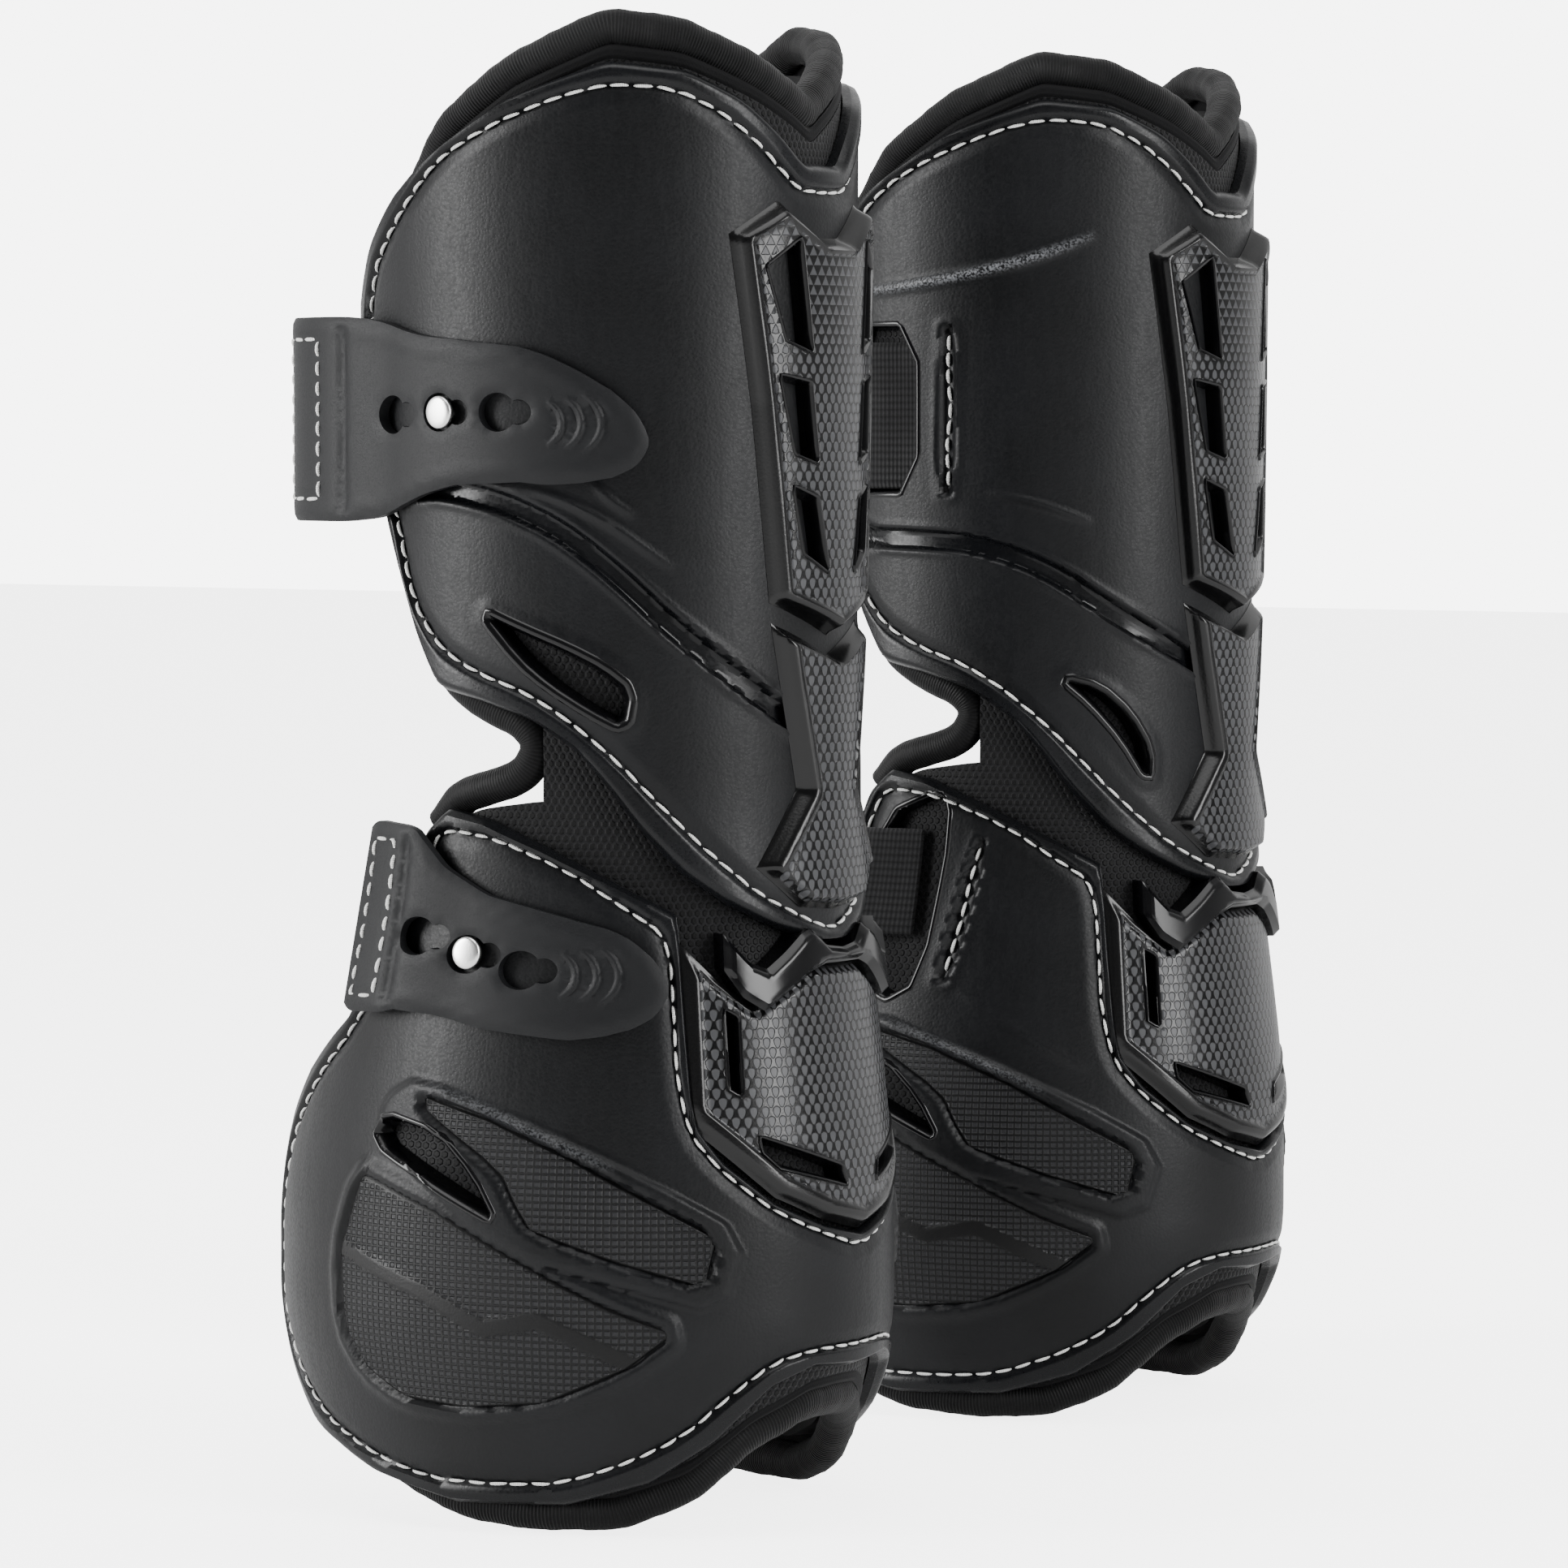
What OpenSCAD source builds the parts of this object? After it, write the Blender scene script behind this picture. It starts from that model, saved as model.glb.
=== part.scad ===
// A pair of horse leg boots: a tendon shell and a fetlock shell joined by a flexing spine,
// lined with neoprene, and closed across the open front by elastics with rubber tabs and studs.
// X points to the back of the leg, Z up. The left boot stands at -Y, its outer flank towards -Y.
// The origin is under the middle of the pair's box, at the height of the lowest hem.

/* [Pair] */
// Distance between the centre lines of the two boots
pair_spacing = 186; // [170:1:240]

/* [Leg section] */
// Half depth of the shell round the tendon, front to back
tendon_half_depth = 58; // [57:0.5:59]
// Half width of the shell round the tendon
tendon_half_width = 51; // [50:0.5:52]
// Half depth of the shell round the fetlock
fetlock_half_depth = 74; // [73:0.5:75]
// Half width of the shell round the fetlock
fetlock_half_width = 59; // [58:0.5:60]
// Height at which the tendon section ends and the fetlock bulge begins
neck_z = 165; // [160:1:170]
// Height of the widest fetlock section
fetlock_z = 60; // [55:1:65]

/* [Layers] */
// Thickness of the moulded shells
shell_wall = 3; // [2.8:0.1:3.2]
// Thickness of the spacer mesh that faces the neoprene
mesh_wall = 1.2; // [1:0.1:1.4]
// Thickness of the neoprene liner
liner_wall = 5.8; // [5:0.2:6]
// Thickness of the strike guards at their edges
guard_wall = 3.4; // [3:0.1:3.8]
// Extra height of the strike guards along the spine
guard_ridge = 2.4; // [1:0.1:3]
// Radius of the padded roll at the top
top_roll_r = 4.3; // [4:0.1:4.6]
// Radius of the padded roll at the bottom
bottom_roll_r = 4.3; // [4:0.1:4.6]
// Radius of the soft binding round the front notch
binding_r = 3.3; // [3:0.1:3.4]

/* [Closures] */
// Thickness of the rubber tabs
tab_wall = 2.8; // [2.4:0.1:3]
// Diameter of a stud's head
stud_head_d = 7.4; // [7:0.1:7.6]
// Diameter of the large hole of a keyhole
keyhole_d = 8.6; // [8.4:0.1:9]
// Diameter of the small hole of a keyhole
keyhole_small_d = 5.6; // [5:0.1:6]
// Thickness of the elastic straps
elastic_wall = 1.6; // [1.2:0.1:1.8]

/* [Hidden] */
$fn = 48;

// Clearance between two layers of one boot
gap = 0.4;
// Offset from the outer skin to the inside of the mesh and of the neoprene
mesh_out = -shell_wall - gap;
mesh_in = mesh_out - mesh_wall;
liner_out = mesh_in - gap;
liner_in = liner_out - liner_wall;
roll_middle = (mesh_out + liner_in) / 2;
// Room left between a liner's edge and the middle of the roll's outline
roll_clear = 2 * top_roll_r + 3.4;
hem_clear = bottom_roll_r + 1.7;

// Centre of the section: it moves forward round the fetlock
centre_x_tendon = -0.8;
centre_x_shift = 6.5;
// How much the section draws in at the very bottom, and the height below which it does
foot_z = 50;
foot_draw_depth = 8;
foot_draw_width = 6;
// The section opens by this much from cuff_z up to the top edge
cuff_z = 250;
cuff_rise = 90;
cuff_flare = 1;

// Outlines are [angle from the spine, height] points, the same on both flanks.
upper_shell_top = [[0, 303], [8, 303], [15, 309], [26, 317], [40, 323], [58, 325], [82, 317],
    [101, 306], [115, 297], [128, 286], [138, 273]];
upper_shell_bottom = [[0, 130.6], [6, 130.8], [20, 135], [31, 140], [42, 147], [52, 157],
    [59, 166], [66, 174], [77, 181], [90, 185], [102, 187.5], [108, 199], [115, 214], [121, 227],
    [130, 244], [138, 258]];
lower_shell_top = [[0, 66], [12, 69], [24, 74.5], [35, 84], [40, 91.5], [41, 95], [43, 138],
    [59, 146], [74, 153], [88, 158.5], [99, 160.5], [105, 155], [113, 132], [122, 112.5],
    [137, 99], [146, 87], [152, 68]];
lower_shell_bottom = [[0, 36], [14, 37], [24, 33], [35, 21], [48, 12], [65, 7], [89, 6],
    [109, 10], [132, 18], [146, 31], [152, 46]];
top_roll_crest = [[0, 319], [6, 322], [20, 328], [40, 335], [58, 337], [81, 328], [101, 316],
    [122, 293], [134, 277]];
bottom_roll_hem = [[0, 23.5], [10, 23], [25, 17], [39, 6], [55, 0.6], [73, 0], [89, 1], [109, 7.5],
    [124, 13]];
// Lower edge of the upper liner and upper edge of the lower liner, with the flex gap between them
upper_liner_bottom = [[0, 132], [20, 133], [38, 145.5], [54, 159], [68, 171], [72.5, 177],
    [75, 185.4], [82, 186.2], [92, 189], [104, 194], [112, 208], [120, 225], [130, 242], [138, 255]];
lower_liner_top = [[0, 129.6], [20, 129], [38, 139], [54, 149], [68, 159.5], [72.5, 164],
    [75, 162.5], [82, 162], [92, 160.5], [103, 156], [112, 131], [122, 111], [137, 93], [146, 74]];
lower_liner_bottom = [[0, 28], [10, 27.5], [25, 21.5], [39, 11], [55, 5.5], [73, 5], [89, 6],
    [109, 13], [132, 21], [146, 36]];
notch_path = [[112, 201], [103, 189], [92, 183.5], [83, 180.5], [78.5, 177], [78, 173.5],
    [80.5, 169.5], [85, 167], [93, 165], [101, 163], [107.5, 157]];

// Columns in degrees: even steps that meet at the spine, finer on the outer shells
shell_step = 7;
lining_step = 11.4;
roll_step = 7.3;
// Rows of the upper shell and lining, closer together where the section starts to swell
upper_shell_rows = [0, 0.07, 0.14, 0.23, 0.4, 0.6, 0.8, 1];
upper_lining_rows = [0, 0.08, 0.16, 0.28, 0.55, 1];

// Strike guards: top and bottom outlines over -1..1 across the guard, and the half angle at a height
guard_peak = 0.56;
upper_guard_top = [[0, 287], [0.16, 287], [guard_peak, 295], [1, 287.5]];
upper_guard_bottom = [[0, 199], [1, 206.5]];
guard_half_angle = [[198, 19], [250, 25], [290, 31]];
mid_guard_top = [[0, 194.5], [1, 202]];
mid_guard_bottom = [[0, 138], [0.5, 139], [1, 148]];
mid_guard_half_angle = [[140, 24], [148, 24], [165, 11.5], [185, 16], [202, 19.5]];
lower_guard_top = [[0, 126], [0.2, 126.4], [0.42, 122], [0.62, 117.5], [0.82, 124], [1, 132]];
lower_guard_bottom = [[0, 68], [0.3, 70.6], [0.6, 76.4], [1, 92]];
lower_guard_half_angle = [[70, 36], [80, 38], [95, 39.5], [132, 40]];
// Bridge that hooks round the end of the mesh slot on each flank
bridge_top = [[0, 129.2], [8, 130.2], [12, 131.6], [17, 132.4], [18.5, 127.6], [22, 125.6],
    [25, 124.4], [28, 125.6], [32, 130]];
bridge_bottom = [[0, 127], [8, 127.6], [16, 124.4], [25, 119], [28, 121.5], [32, 126]];

// Rubber tabs: middle height and half height over the angle, tip first
upper_tab_middle = [[50, 242], [64, 245], [78, 248], [94, 248.5], [108, 247.5], [118, 247], [146, 247]];
upper_tab_half = [[50, 0.6], [51, 3.6], [53, 6.2], [57, 9], [64, 12], [72, 14.2], [80, 15], [94, 16],
    [103, 17.5], [110, 19.5], [118, 22], [128, 23], [146, 23]];
lower_tab_middle = [[46, 122], [56, 123.5], [65, 124], [84, 127.5], [96, 132], [103, 136], [118, 136]];
lower_tab_half = [[46, 0.6], [47, 3.4], [49, 6.4], [53, 9.4], [58, 11.6], [66, 13.2], [76, 14],
    [86, 14.6], [95, 16], [101, 19], [105, 20.8], [118, 21.5]];
upper_fold_angle = 127.6;
lower_fold_angle = 105;
fold_gap_angle = 0.8;
upper_tab_front = 146;
lower_tab_front = 118;
upper_holes = [[83, 248.5], [98, 248.5], [113, 248]];
lower_holes = [[76, 126], [88, 129], [100, 132.5]];
stud_index = 1;
stud_neck_d = 4.2;
washer_d = 10;
washer_wall = 0.5;
washer_top = -4.1;
pocket_depth = 0.8;
head_base = 2.2;
head_wall = 1.8;
keyhole_step = 4.6;
tab_float = 0.7;
// The tab leaves the shell towards its front end, more on the upper tab
upper_tab_rise = 9;
upper_rise_start = 112;
upper_rise_run = 36;
lower_tab_rise = 2.4;
lower_rise_start = 88;
lower_rise_run = 20;

// Elastic straps: offset of the inner face on the way round the open front to the inner flank.
// The lower strap runs almost straight across the opening.
upper_elastic_offset = [[129, 2.9], [146, 7.6], [165, 5], [180, 2.5], [200, 1.2], [222, 0.7],
    [248, 0.6], [264, -2.3], [268, -2.3]];
lower_elastic_offset = [[106, 0.5], [118, 0.9], [122, -2.5], [128, -8.5], [135, -14.5], [145, -20],
    [160, -24.5], [180, -26], [200, -24.5], [215, -20], [225, -14.5], [232, -8.5], [238, -2.5],
    [243, 0.6], [259, 0.5], [271, -2.3]];
upper_elastic_middle = 248;
upper_elastic_half = 18;
upper_elastic_ends = [130, 268];
lower_elastic_middle = 133;
lower_elastic_half = 13;
lower_elastic_ends = [107, 271];
elastic_step = 7;

// Cut-outs in the shells, as [angle, height] corners
flex_vent = [[72, 198], [54.5, 187], [53, 177], [76, 192], [88, 205]];
side_vent = [[95, 92.5], [82, 82], [77, 69.5], [92, 82], [105, 93]];
upper_window = [[-112, 229], [-90, 229], [-90, 270], [-112, 270]];
lower_window = [[-106, 119], [-88, 116], [-82, 149], [-99, 149]];
guard_vents = [
    [[24.5, 284], [16.5, 290], [11.5, 262.5], [20.5, 265]],
    [[20, 259.5], [12.5, 259.5], [8.5, 237.5], [17, 239.5]],
    [[17, 235], [10.5, 233], [6, 212.5], [13.5, 219]]
];
lower_guard_vents = [
    [[34, 119], [30.5, 121], [30.5, 98], [34, 100]],
    [[28.5, 92.5], [9, 85], [8.5, 79], [20, 82], [27.5, 87.5]]
];

// Raised grip pads on the fetlock shell
bar_top = [[33, 71.5], [91, 105], [96, 103]];
bar_bottom = [[33, 59.5], [36, 57.5], [76, 66], [84, 79.5], [92, 88], [96, 96]];
crescent_top = [[44.5, 50], [64, 60.5], [75, 66], [92, 75.5], [108, 86], [113, 80]];
crescent_bottom = [[44.5, 48.5], [55, 37], [68, 30.5], [82, 27.5], [98, 28], [109, 33], [113, 42]];
pad_rise = 1.5;
pad_float = 0.5;

// Smooth step from 0 to 1
function ease(x) = let (c = min(max(x, 0), 1)) c * c * (3 - 2 * c);
function bulge(z) = ease((neck_z - z) / (neck_z - fetlock_z));
function draw_in(z) = ease((foot_z - z) / foot_z);
function flare(z) = cuff_flare * ease((z - cuff_z) / cuff_rise);
function half_depth(z) = tendon_half_depth + (fetlock_half_depth - tendon_half_depth) * bulge(z)
    - foot_draw_depth * draw_in(z) + flare(z);
function half_width(z) = tendon_half_width + (fetlock_half_width - tendon_half_width) * bulge(z)
    - foot_draw_width * draw_in(z) + flare(z);
function centre_x(z) = centre_x_tendon - centre_x_shift * bulge(z) - flare(z);
// Point on the boot: angle from the spine, height, and distance out from the shell's outer skin
function skin(angle, z, out) = [
    centre_x(z) + (half_depth(z) + out) * cos(angle),
    -(half_width(z) + out) * sin(angle),
    z
];
// Height of an outline at an angle, softened over the neighbouring angles
function height(line, angle, soft = 2) = let (a = abs(angle))
    (lookup(abs(a - soft), line) + 2 * lookup(a, line) + lookup(a + soft, line)) / 4;
function mix(a, b, k) = a + (b - a) * k;
function steps(first, last, count) = [for (i = [0:count]) mix(first, last, i / count)];
function columns(limit, step) = let (n = floor((limit - 1) / step)) concat(
    [-limit],
    [for (i = [-n:n]) i * step],
    [limit]
);
function upper_tab_lift(angle) = tab_float
    + upper_tab_rise * ease((angle - upper_rise_start) / upper_rise_run);
function lower_tab_lift(angle) = tab_float
    + lower_tab_rise * ease((angle - lower_rise_start) / lower_rise_run);

// Closed plate between two offsets of the skin. place(u, v) gives [angle, height]; low and high
// give the inner and outer offset at (u, v). The angle grows with u and the height with v.
module plate(us, vs, place, low, high) {
    n = len(us);
    m = len(vs);
    outer = [for (u = us) for (v = vs) let (p = place(u, v)) skin(p[0], p[1], high(u, v))];
    inner = [for (u = us) for (v = vs) let (p = place(u, v)) skin(p[0], p[1], low(u, v))];
    back = n * m;
    top_row = m - 1;
    end = n - 1;
    faces_out = [for (i = [0:n - 2]) for (j = [0:m - 2]) for (f = [
        [(i + 1) * m + j, (i + 1) * m + j + 1, i * m + j + 1],
        [(i + 1) * m + j, i * m + j + 1, i * m + j]
    ]) f];
    faces_in = [for (f = faces_out) [f[2] + back, f[1] + back, f[0] + back]];
    faces_rows = [for (i = [0:n - 2]) for (f = [
        [(i + 1) * m, i * m, back + i * m],
        [(i + 1) * m, back + i * m, back + (i + 1) * m],
        [i * m + top_row, (i + 1) * m + top_row, back + (i + 1) * m + top_row],
        [i * m + top_row, back + (i + 1) * m + top_row, back + i * m + top_row]
    ]) f];
    faces_ends = [for (j = [0:m - 2]) for (f = [
        [j, j + 1, back + j + 1],
        [j, back + j + 1, back + j],
        [end * m + j + 1, end * m + j, back + end * m + j],
        [end * m + j + 1, back + end * m + j, back + end * m + j + 1]
    ]) f];
    polyhedron(concat(outer, inner), concat(faces_out, faces_in, faces_rows, faces_ends));
}

// Plate between two outlines over a range of angles, with rows at these shares of its height
module band(angles, rows, bottom, top, low, high, soft = 2) {
    plate(
        angles,
        rows,
        function (u, v) [u, mix(height(bottom, u, soft), height(top, u, soft), v)],
        function (u, v) low,
        function (u, v) high
    );
}

// Guard plate: u runs across the guard from -1 to 1, thicker along the spine
module guard(us, rows, bottom, top, half_angle) {
    plate(
        us,
        steps(0, 1, rows),
        function (u, v) let (z = mix(lookup(abs(u), bottom), lookup(abs(u), top), v))
            [u * lookup(z, half_angle), z],
        function (u, v) gap,
        function (u, v) gap + guard_wall + guard_ridge * (1 - u * u)
    );
}

// Soft round bead along a path of [angle, height] points, its middle at an offset of the skin
module bead(path, out, r) {
    n = len(path);
    sides = 8;
    radius_mean = tendon_half_width;
    degree = radius_mean * PI / 180;
    rings = [for (i = [0:n - 1])
        let (a = path[max(i - 1, 0)], b = path[min(i + 1, n - 1)])
        let (run = (b[0] - a[0]) * degree, rise = b[1] - a[1])
        let (len_ab = norm([run, rise]))
        [-rise / len_ab / degree, run / len_ab]];
    points = [for (i = [0:n - 1]) for (s = [0:sides - 1])
        let (c = r * cos(s * 360 / sides), h = r * sin(s * 360 / sides))
        skin(path[i][0] + rings[i][0] * h, path[i][1] + rings[i][1] * h, out + c)];
    walls = [for (i = [0:n - 2]) for (s = [0:sides - 1])
        let (a = i * sides + s, b = i * sides + (s + 1) % sides)
        for (f = [[a, b, b + sides], [a, b + sides, a + sides]]) f];
    first = [[for (s = [0:sides - 1]) sides - 1 - s]];
    last = [[for (s = [0:sides - 1]) (n - 1) * sides + s]];
    polyhedron(points, concat(walls, first, last));
}

// Cutter through the shell over an outline of [angle, height] corners
module punch(outline, low, high) {
    n = len(outline);
    rim = concat(
        [for (p = outline) skin(p[0], p[1], low)],
        [for (p = outline) skin(p[0], p[1], high)]
    );
    middle = [for (k = [0:1]) [for (i = [0:n - 1]) 1 / n] * [for (i = [0:n - 1]) rim[k * n + i]]];
    sides = [for (i = [0:n - 1]) let (j = (i + 1) % n) for (f = [
        [i, j, n + j],
        [i, n + j, n + i],
        [2 * n, j, i],
        [2 * n + 1, n + i, n + j]
    ]) f];
    polyhedron(concat(rim, middle), sides);
}

// Works the booleans of a moulded shell as one mesh
module moulded() {
    resize([0, 0, 0]) children();
}

function shifted(line, rise) = [for (p = line) [p[0], p[1] + rise]];
function mirrored(outline) = [for (i = [len(outline) - 1:-1:0]) [-outline[i][0], outline[i][1]]];
// Puts children on the skin, their Z axis pointing out
module on_skin(angle, z) {
    facing = atan2(-sin(angle) * half_depth(z), cos(angle) * half_width(z));
    slope = atan((half_width(z + 1) - half_width(z - 1)) / 2);
    translate(skin(angle, z, 0)) rotate([0, 90 - slope, facing]) children();
}

module upper_shell() {
    color("#222326") moulded() difference() {
        band(columns(138, shell_step), upper_shell_rows, upper_shell_bottom, upper_shell_top,
            -shell_wall, 0);
        punch(flex_vent, -6, 4);
        punch(mirrored(flex_vent), -6, 4);
        punch(upper_window, -6, 4);
        on_skin(upper_holes[stud_index][0], upper_holes[stud_index][1])
            cylinder(h = 12, d = stud_neck_d + 0.4, center = true);
    }
}

module lower_shell() {
    color("#222326") moulded() difference() {
        band(
            concat([-152, -146], [for (i = [-20:-7]) i * shell_step], [-43.5, -40.6, -35, -28, -21, -14, -7],
                [0, 7, 14, 21, 28, 35, 40.6, 43.5], [for (i = [7:20]) i * shell_step], [146, 152]),
            steps(0, 1, 7), lower_shell_bottom, lower_shell_top, -shell_wall, 0, 0.5
        );
        punch(side_vent, -6, 4);
        punch(mirrored(side_vent), -6, 4);
        punch(lower_window, -6, 4);
        on_skin(lower_holes[stud_index][0], lower_holes[stud_index][1])
            cylinder(h = 12, d = stud_neck_d + 0.4, center = true);
    }
}

module upper_guard() {
    color("#3a3b3d") moulded() difference() {
        guard([-1, -0.8, -guard_peak, -0.36, -0.16, 0.16, 0.36, guard_peak, 0.8, 1], 7,
            upper_guard_bottom, upper_guard_top, guard_half_angle);
        for (vent = guard_vents) {
            punch(vent, -4, 10);
            punch(mirrored(vent), -4, 10);
        }
    }
}

module mid_guard() {
    color("#3a3b3d") guard([-1, -0.75, -0.5, -0.25, 0, 0.25, 0.5, 0.75, 1], 7,
        mid_guard_bottom, mid_guard_top, mid_guard_half_angle);
}

module lower_guard() {
    color("#3a3b3d") moulded() difference() {
        plate(
            [-1, -0.82, -0.62, -0.42, -0.2, 0, 0.2, 0.42, 0.62, 0.82, 1],
            steps(0, 1, 7),
            function (u, v)
                let (z = mix(lookup(abs(u), lower_guard_bottom), lookup(abs(u), lower_guard_top), v))
                [u * lookup(z, lower_guard_half_angle), z],
            function (u, v) -shell_wall,
            function (u, v) guard_wall + guard_ridge * (1 - u * u)
        );
        for (vent = lower_guard_vents) {
            punch(vent, -7, 10);
            punch(mirrored(vent), -7, 10);
        }
    }
}

module hinge_bridge() {
    color("#101113") plate(
        [-32, -28, -25, -22, -18.5, -17, -12, -8, 0, 8, 12, 17, 18.5, 22, 25, 28, 32],
        [0, 1],
        function (u, v) [u, mix(lookup(abs(u), bridge_bottom), lookup(abs(u), bridge_top), v)],
        function (u, v) -shell_wall,
        function (u, v) guard_wall
    );
}

// Room in the mesh, and a dent in the neoprene, for a stud's washer
module washer_pocket(place) {
    on_skin(place[0], place[1]) translate([0, 0, washer_top - washer_wall - pocket_depth])
        cylinder(h = 10, d = washer_d + 1);
}

module upper_mesh() {
    color("#0d0d0f") moulded() difference() {
        band(columns(137, lining_step), upper_lining_rows, upper_liner_bottom,
            shifted(top_roll_crest, -roll_clear), mesh_in, mesh_out);
        washer_pocket(upper_holes[stud_index]);
    }
}

module lower_mesh() {
    color("#0d0d0f") moulded() difference() {
        band(columns(145, lining_step), steps(0, 1, 6), shifted(lower_liner_bottom, hem_clear),
            lower_liner_top, mesh_in, mesh_out);
        washer_pocket(lower_holes[stud_index]);
    }
}

module upper_liner() {
    color("#141416") band(columns(138, lining_step), upper_lining_rows, upper_liner_bottom,
        shifted(top_roll_crest, -roll_clear), liner_in, liner_out);
}

module lower_liner() {
    color("#141416") moulded() difference() {
        band(columns(146, lining_step), steps(0, 1, 6), shifted(lower_liner_bottom, hem_clear),
            lower_liner_top, liner_in, liner_out);
        washer_pocket(lower_holes[stud_index]);
    }
}

module top_roll() {
    color("#0b0b0c") bead(
        [for (i = [-18:18]) let (a = i * roll_step) [a, height(top_roll_crest, a) - top_roll_r]],
        roll_middle, top_roll_r
    );
}

module bottom_roll() {
    color("#0b0b0c") bead(
        [for (i = [-16:16]) let (a = i * roll_step) [a, height(bottom_roll_hem, a) + bottom_roll_r]],
        roll_middle, bottom_roll_r
    );
}

module notch_binding() {
    color("#0b0b0c") {
        bead(notch_path, roll_middle, binding_r);
        bead([for (p = notch_path) [-p[0], p[1]]], roll_middle, binding_r);
    }
}

// Rubber strap from one angle to another, lifted off the shell, before its holes are cut
module tab_strap(angles, middle, half, lift) {
    plate(
        angles,
        [-1, -0.6, 0, 0.6, 1],
        function (u, v) [u, lookup(u, middle) + v * lookup(u, half)],
        function (u, v) lift(u) + 0.5 * v * v,
        function (u, v) lift(u) + tab_wall - 0.5 * v * v
    );
}

// Keyholes through a tab, the small hole towards the tip
module keyholes(places) {
    for (p = places) on_skin(p[0], p[1]) {
        cylinder(h = 30, d = keyhole_d, center = true);
        translate([0, keyhole_step, 0]) cylinder(h = 30, d = keyhole_small_d, center = true);
    }
}

module upper_tab() {
    color("#2b2c2f") difference() {
        tab_strap(
            concat([50, 51, 53, 57, 64], [for (a = [70:6:118]) a],
                [123, upper_fold_angle - fold_gap_angle]),
            upper_tab_middle, upper_tab_half, function (u) upper_tab_lift(u)
        );
        keyholes(upper_holes);
    }
}

module upper_tab_end() {
    color("#2b2c2f") tab_strap(
        [upper_fold_angle + fold_gap_angle, 134, 140, upper_tab_front],
        upper_tab_middle, upper_tab_half, function (u) upper_tab_lift(u)
    );
}

module lower_tab() {
    color("#2b2c2f") difference() {
        tab_strap(
            concat([46, 47, 49, 53, 58], [for (a = [64:6:100]) a], [lower_fold_angle - fold_gap_angle]),
            lower_tab_middle, lower_tab_half, function (u) lower_tab_lift(u)
        );
        keyholes(lower_holes);
    }
}

module lower_tab_end() {
    color("#2b2c2f") tab_strap(
        [lower_fold_angle + fold_gap_angle, 112, lower_tab_front],
        lower_tab_middle, lower_tab_half, function (u) lower_tab_lift(u)
    );
}

// Elastic strap from under the tab's sewn end, round the front, into the window of the inner flank
module elastic(ends, offsets, middle, half) {
    count = round((ends[1] - ends[0]) / elastic_step);
    plate(
        steps(ends[0], ends[1], count),
        [-1, 0, 1],
        function (u, v) [u, middle + v * half],
        function (u, v) lookup(u, offsets),
        function (u, v) lookup(u, offsets) + elastic_wall
    );
}

module upper_elastic() {
    color("#121213")
        elastic(upper_elastic_ends, upper_elastic_offset, upper_elastic_middle, upper_elastic_half);
}

module lower_elastic() {
    color("#121213")
        elastic(lower_elastic_ends, lower_elastic_offset, lower_elastic_middle, lower_elastic_half);
}

// Rivet stud: a neck through the shell and a flat head that stands in the keyhole
module stud(place) {
    color("#d9dadb") on_skin(place[0], place[1]) {
        translate([0, 0, washer_top - washer_wall])
            cylinder(h = head_base - washer_top + washer_wall, d = stud_neck_d);
        translate([0, 0, head_base]) cylinder(h = head_wall, d = stud_head_d);
    }
}

// Backing washer of a stud, between the shell and the neoprene
module washer(place) {
    color("#9c9ea1") on_skin(place[0], place[1]) translate([0, 0, washer_top - washer_wall])
        difference() {
            cylinder(h = washer_wall, d = washer_d);
            translate([0, 0, -1]) cylinder(h = washer_wall + 2, d = stud_neck_d + 0.2);
        }
}

module grip_pads() {
    color("#1a1b1d") for (flank = [-1, 1]) {
        flank_pad(steps(33, 96, 9), flank, bar_bottom, bar_top);
        flank_pad(steps(44.5, 113, 10), flank, crescent_bottom, crescent_top);
    }
}

module flank_pad(angles, flank, bottom, top) {
    us = flank > 0 ? angles : [for (i = [len(angles) - 1:-1:0]) -angles[i]];
    plate(
        us,
        [0, 0.33, 0.67, 1],
        function (u, v) [u, mix(lookup(abs(u), bottom), lookup(abs(u), top), v)],
        function (u, v) pad_float,
        function (u, v) pad_rise
    );
}

// One piece of a boot, by name
module piece(name) {
    if (name == "upper_shell") upper_shell();
    if (name == "lower_shell") lower_shell();
    if (name == "upper_guard") upper_guard();
    if (name == "mid_guard") mid_guard();
    if (name == "lower_guard") lower_guard();
    if (name == "hinge_bridge") hinge_bridge();
    if (name == "upper_mesh") upper_mesh();
    if (name == "lower_mesh") lower_mesh();
    if (name == "upper_liner") upper_liner();
    if (name == "lower_liner") lower_liner();
    if (name == "top_roll") top_roll();
    if (name == "bottom_roll") bottom_roll();
    if (name == "notch_binding") notch_binding();
    if (name == "upper_tab") upper_tab();
    if (name == "upper_tab_end") upper_tab_end();
    if (name == "lower_tab") lower_tab();
    if (name == "lower_tab_end") lower_tab_end();
    if (name == "upper_elastic") upper_elastic();
    if (name == "lower_elastic") lower_elastic();
    if (name == "upper_stud") stud(upper_holes[stud_index]);
    if (name == "lower_stud") stud(lower_holes[stud_index]);
    if (name == "upper_washer") washer(upper_holes[stud_index]);
    if (name == "lower_washer") washer(lower_holes[stud_index]);
    if (name == "grip_pads") grip_pads();
}

module left(name) {
    translate([0, -pair_spacing / 2, 0]) piece(name);
}

module right(name) {
    mirror([0, 1, 0]) left(name);
}

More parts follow.
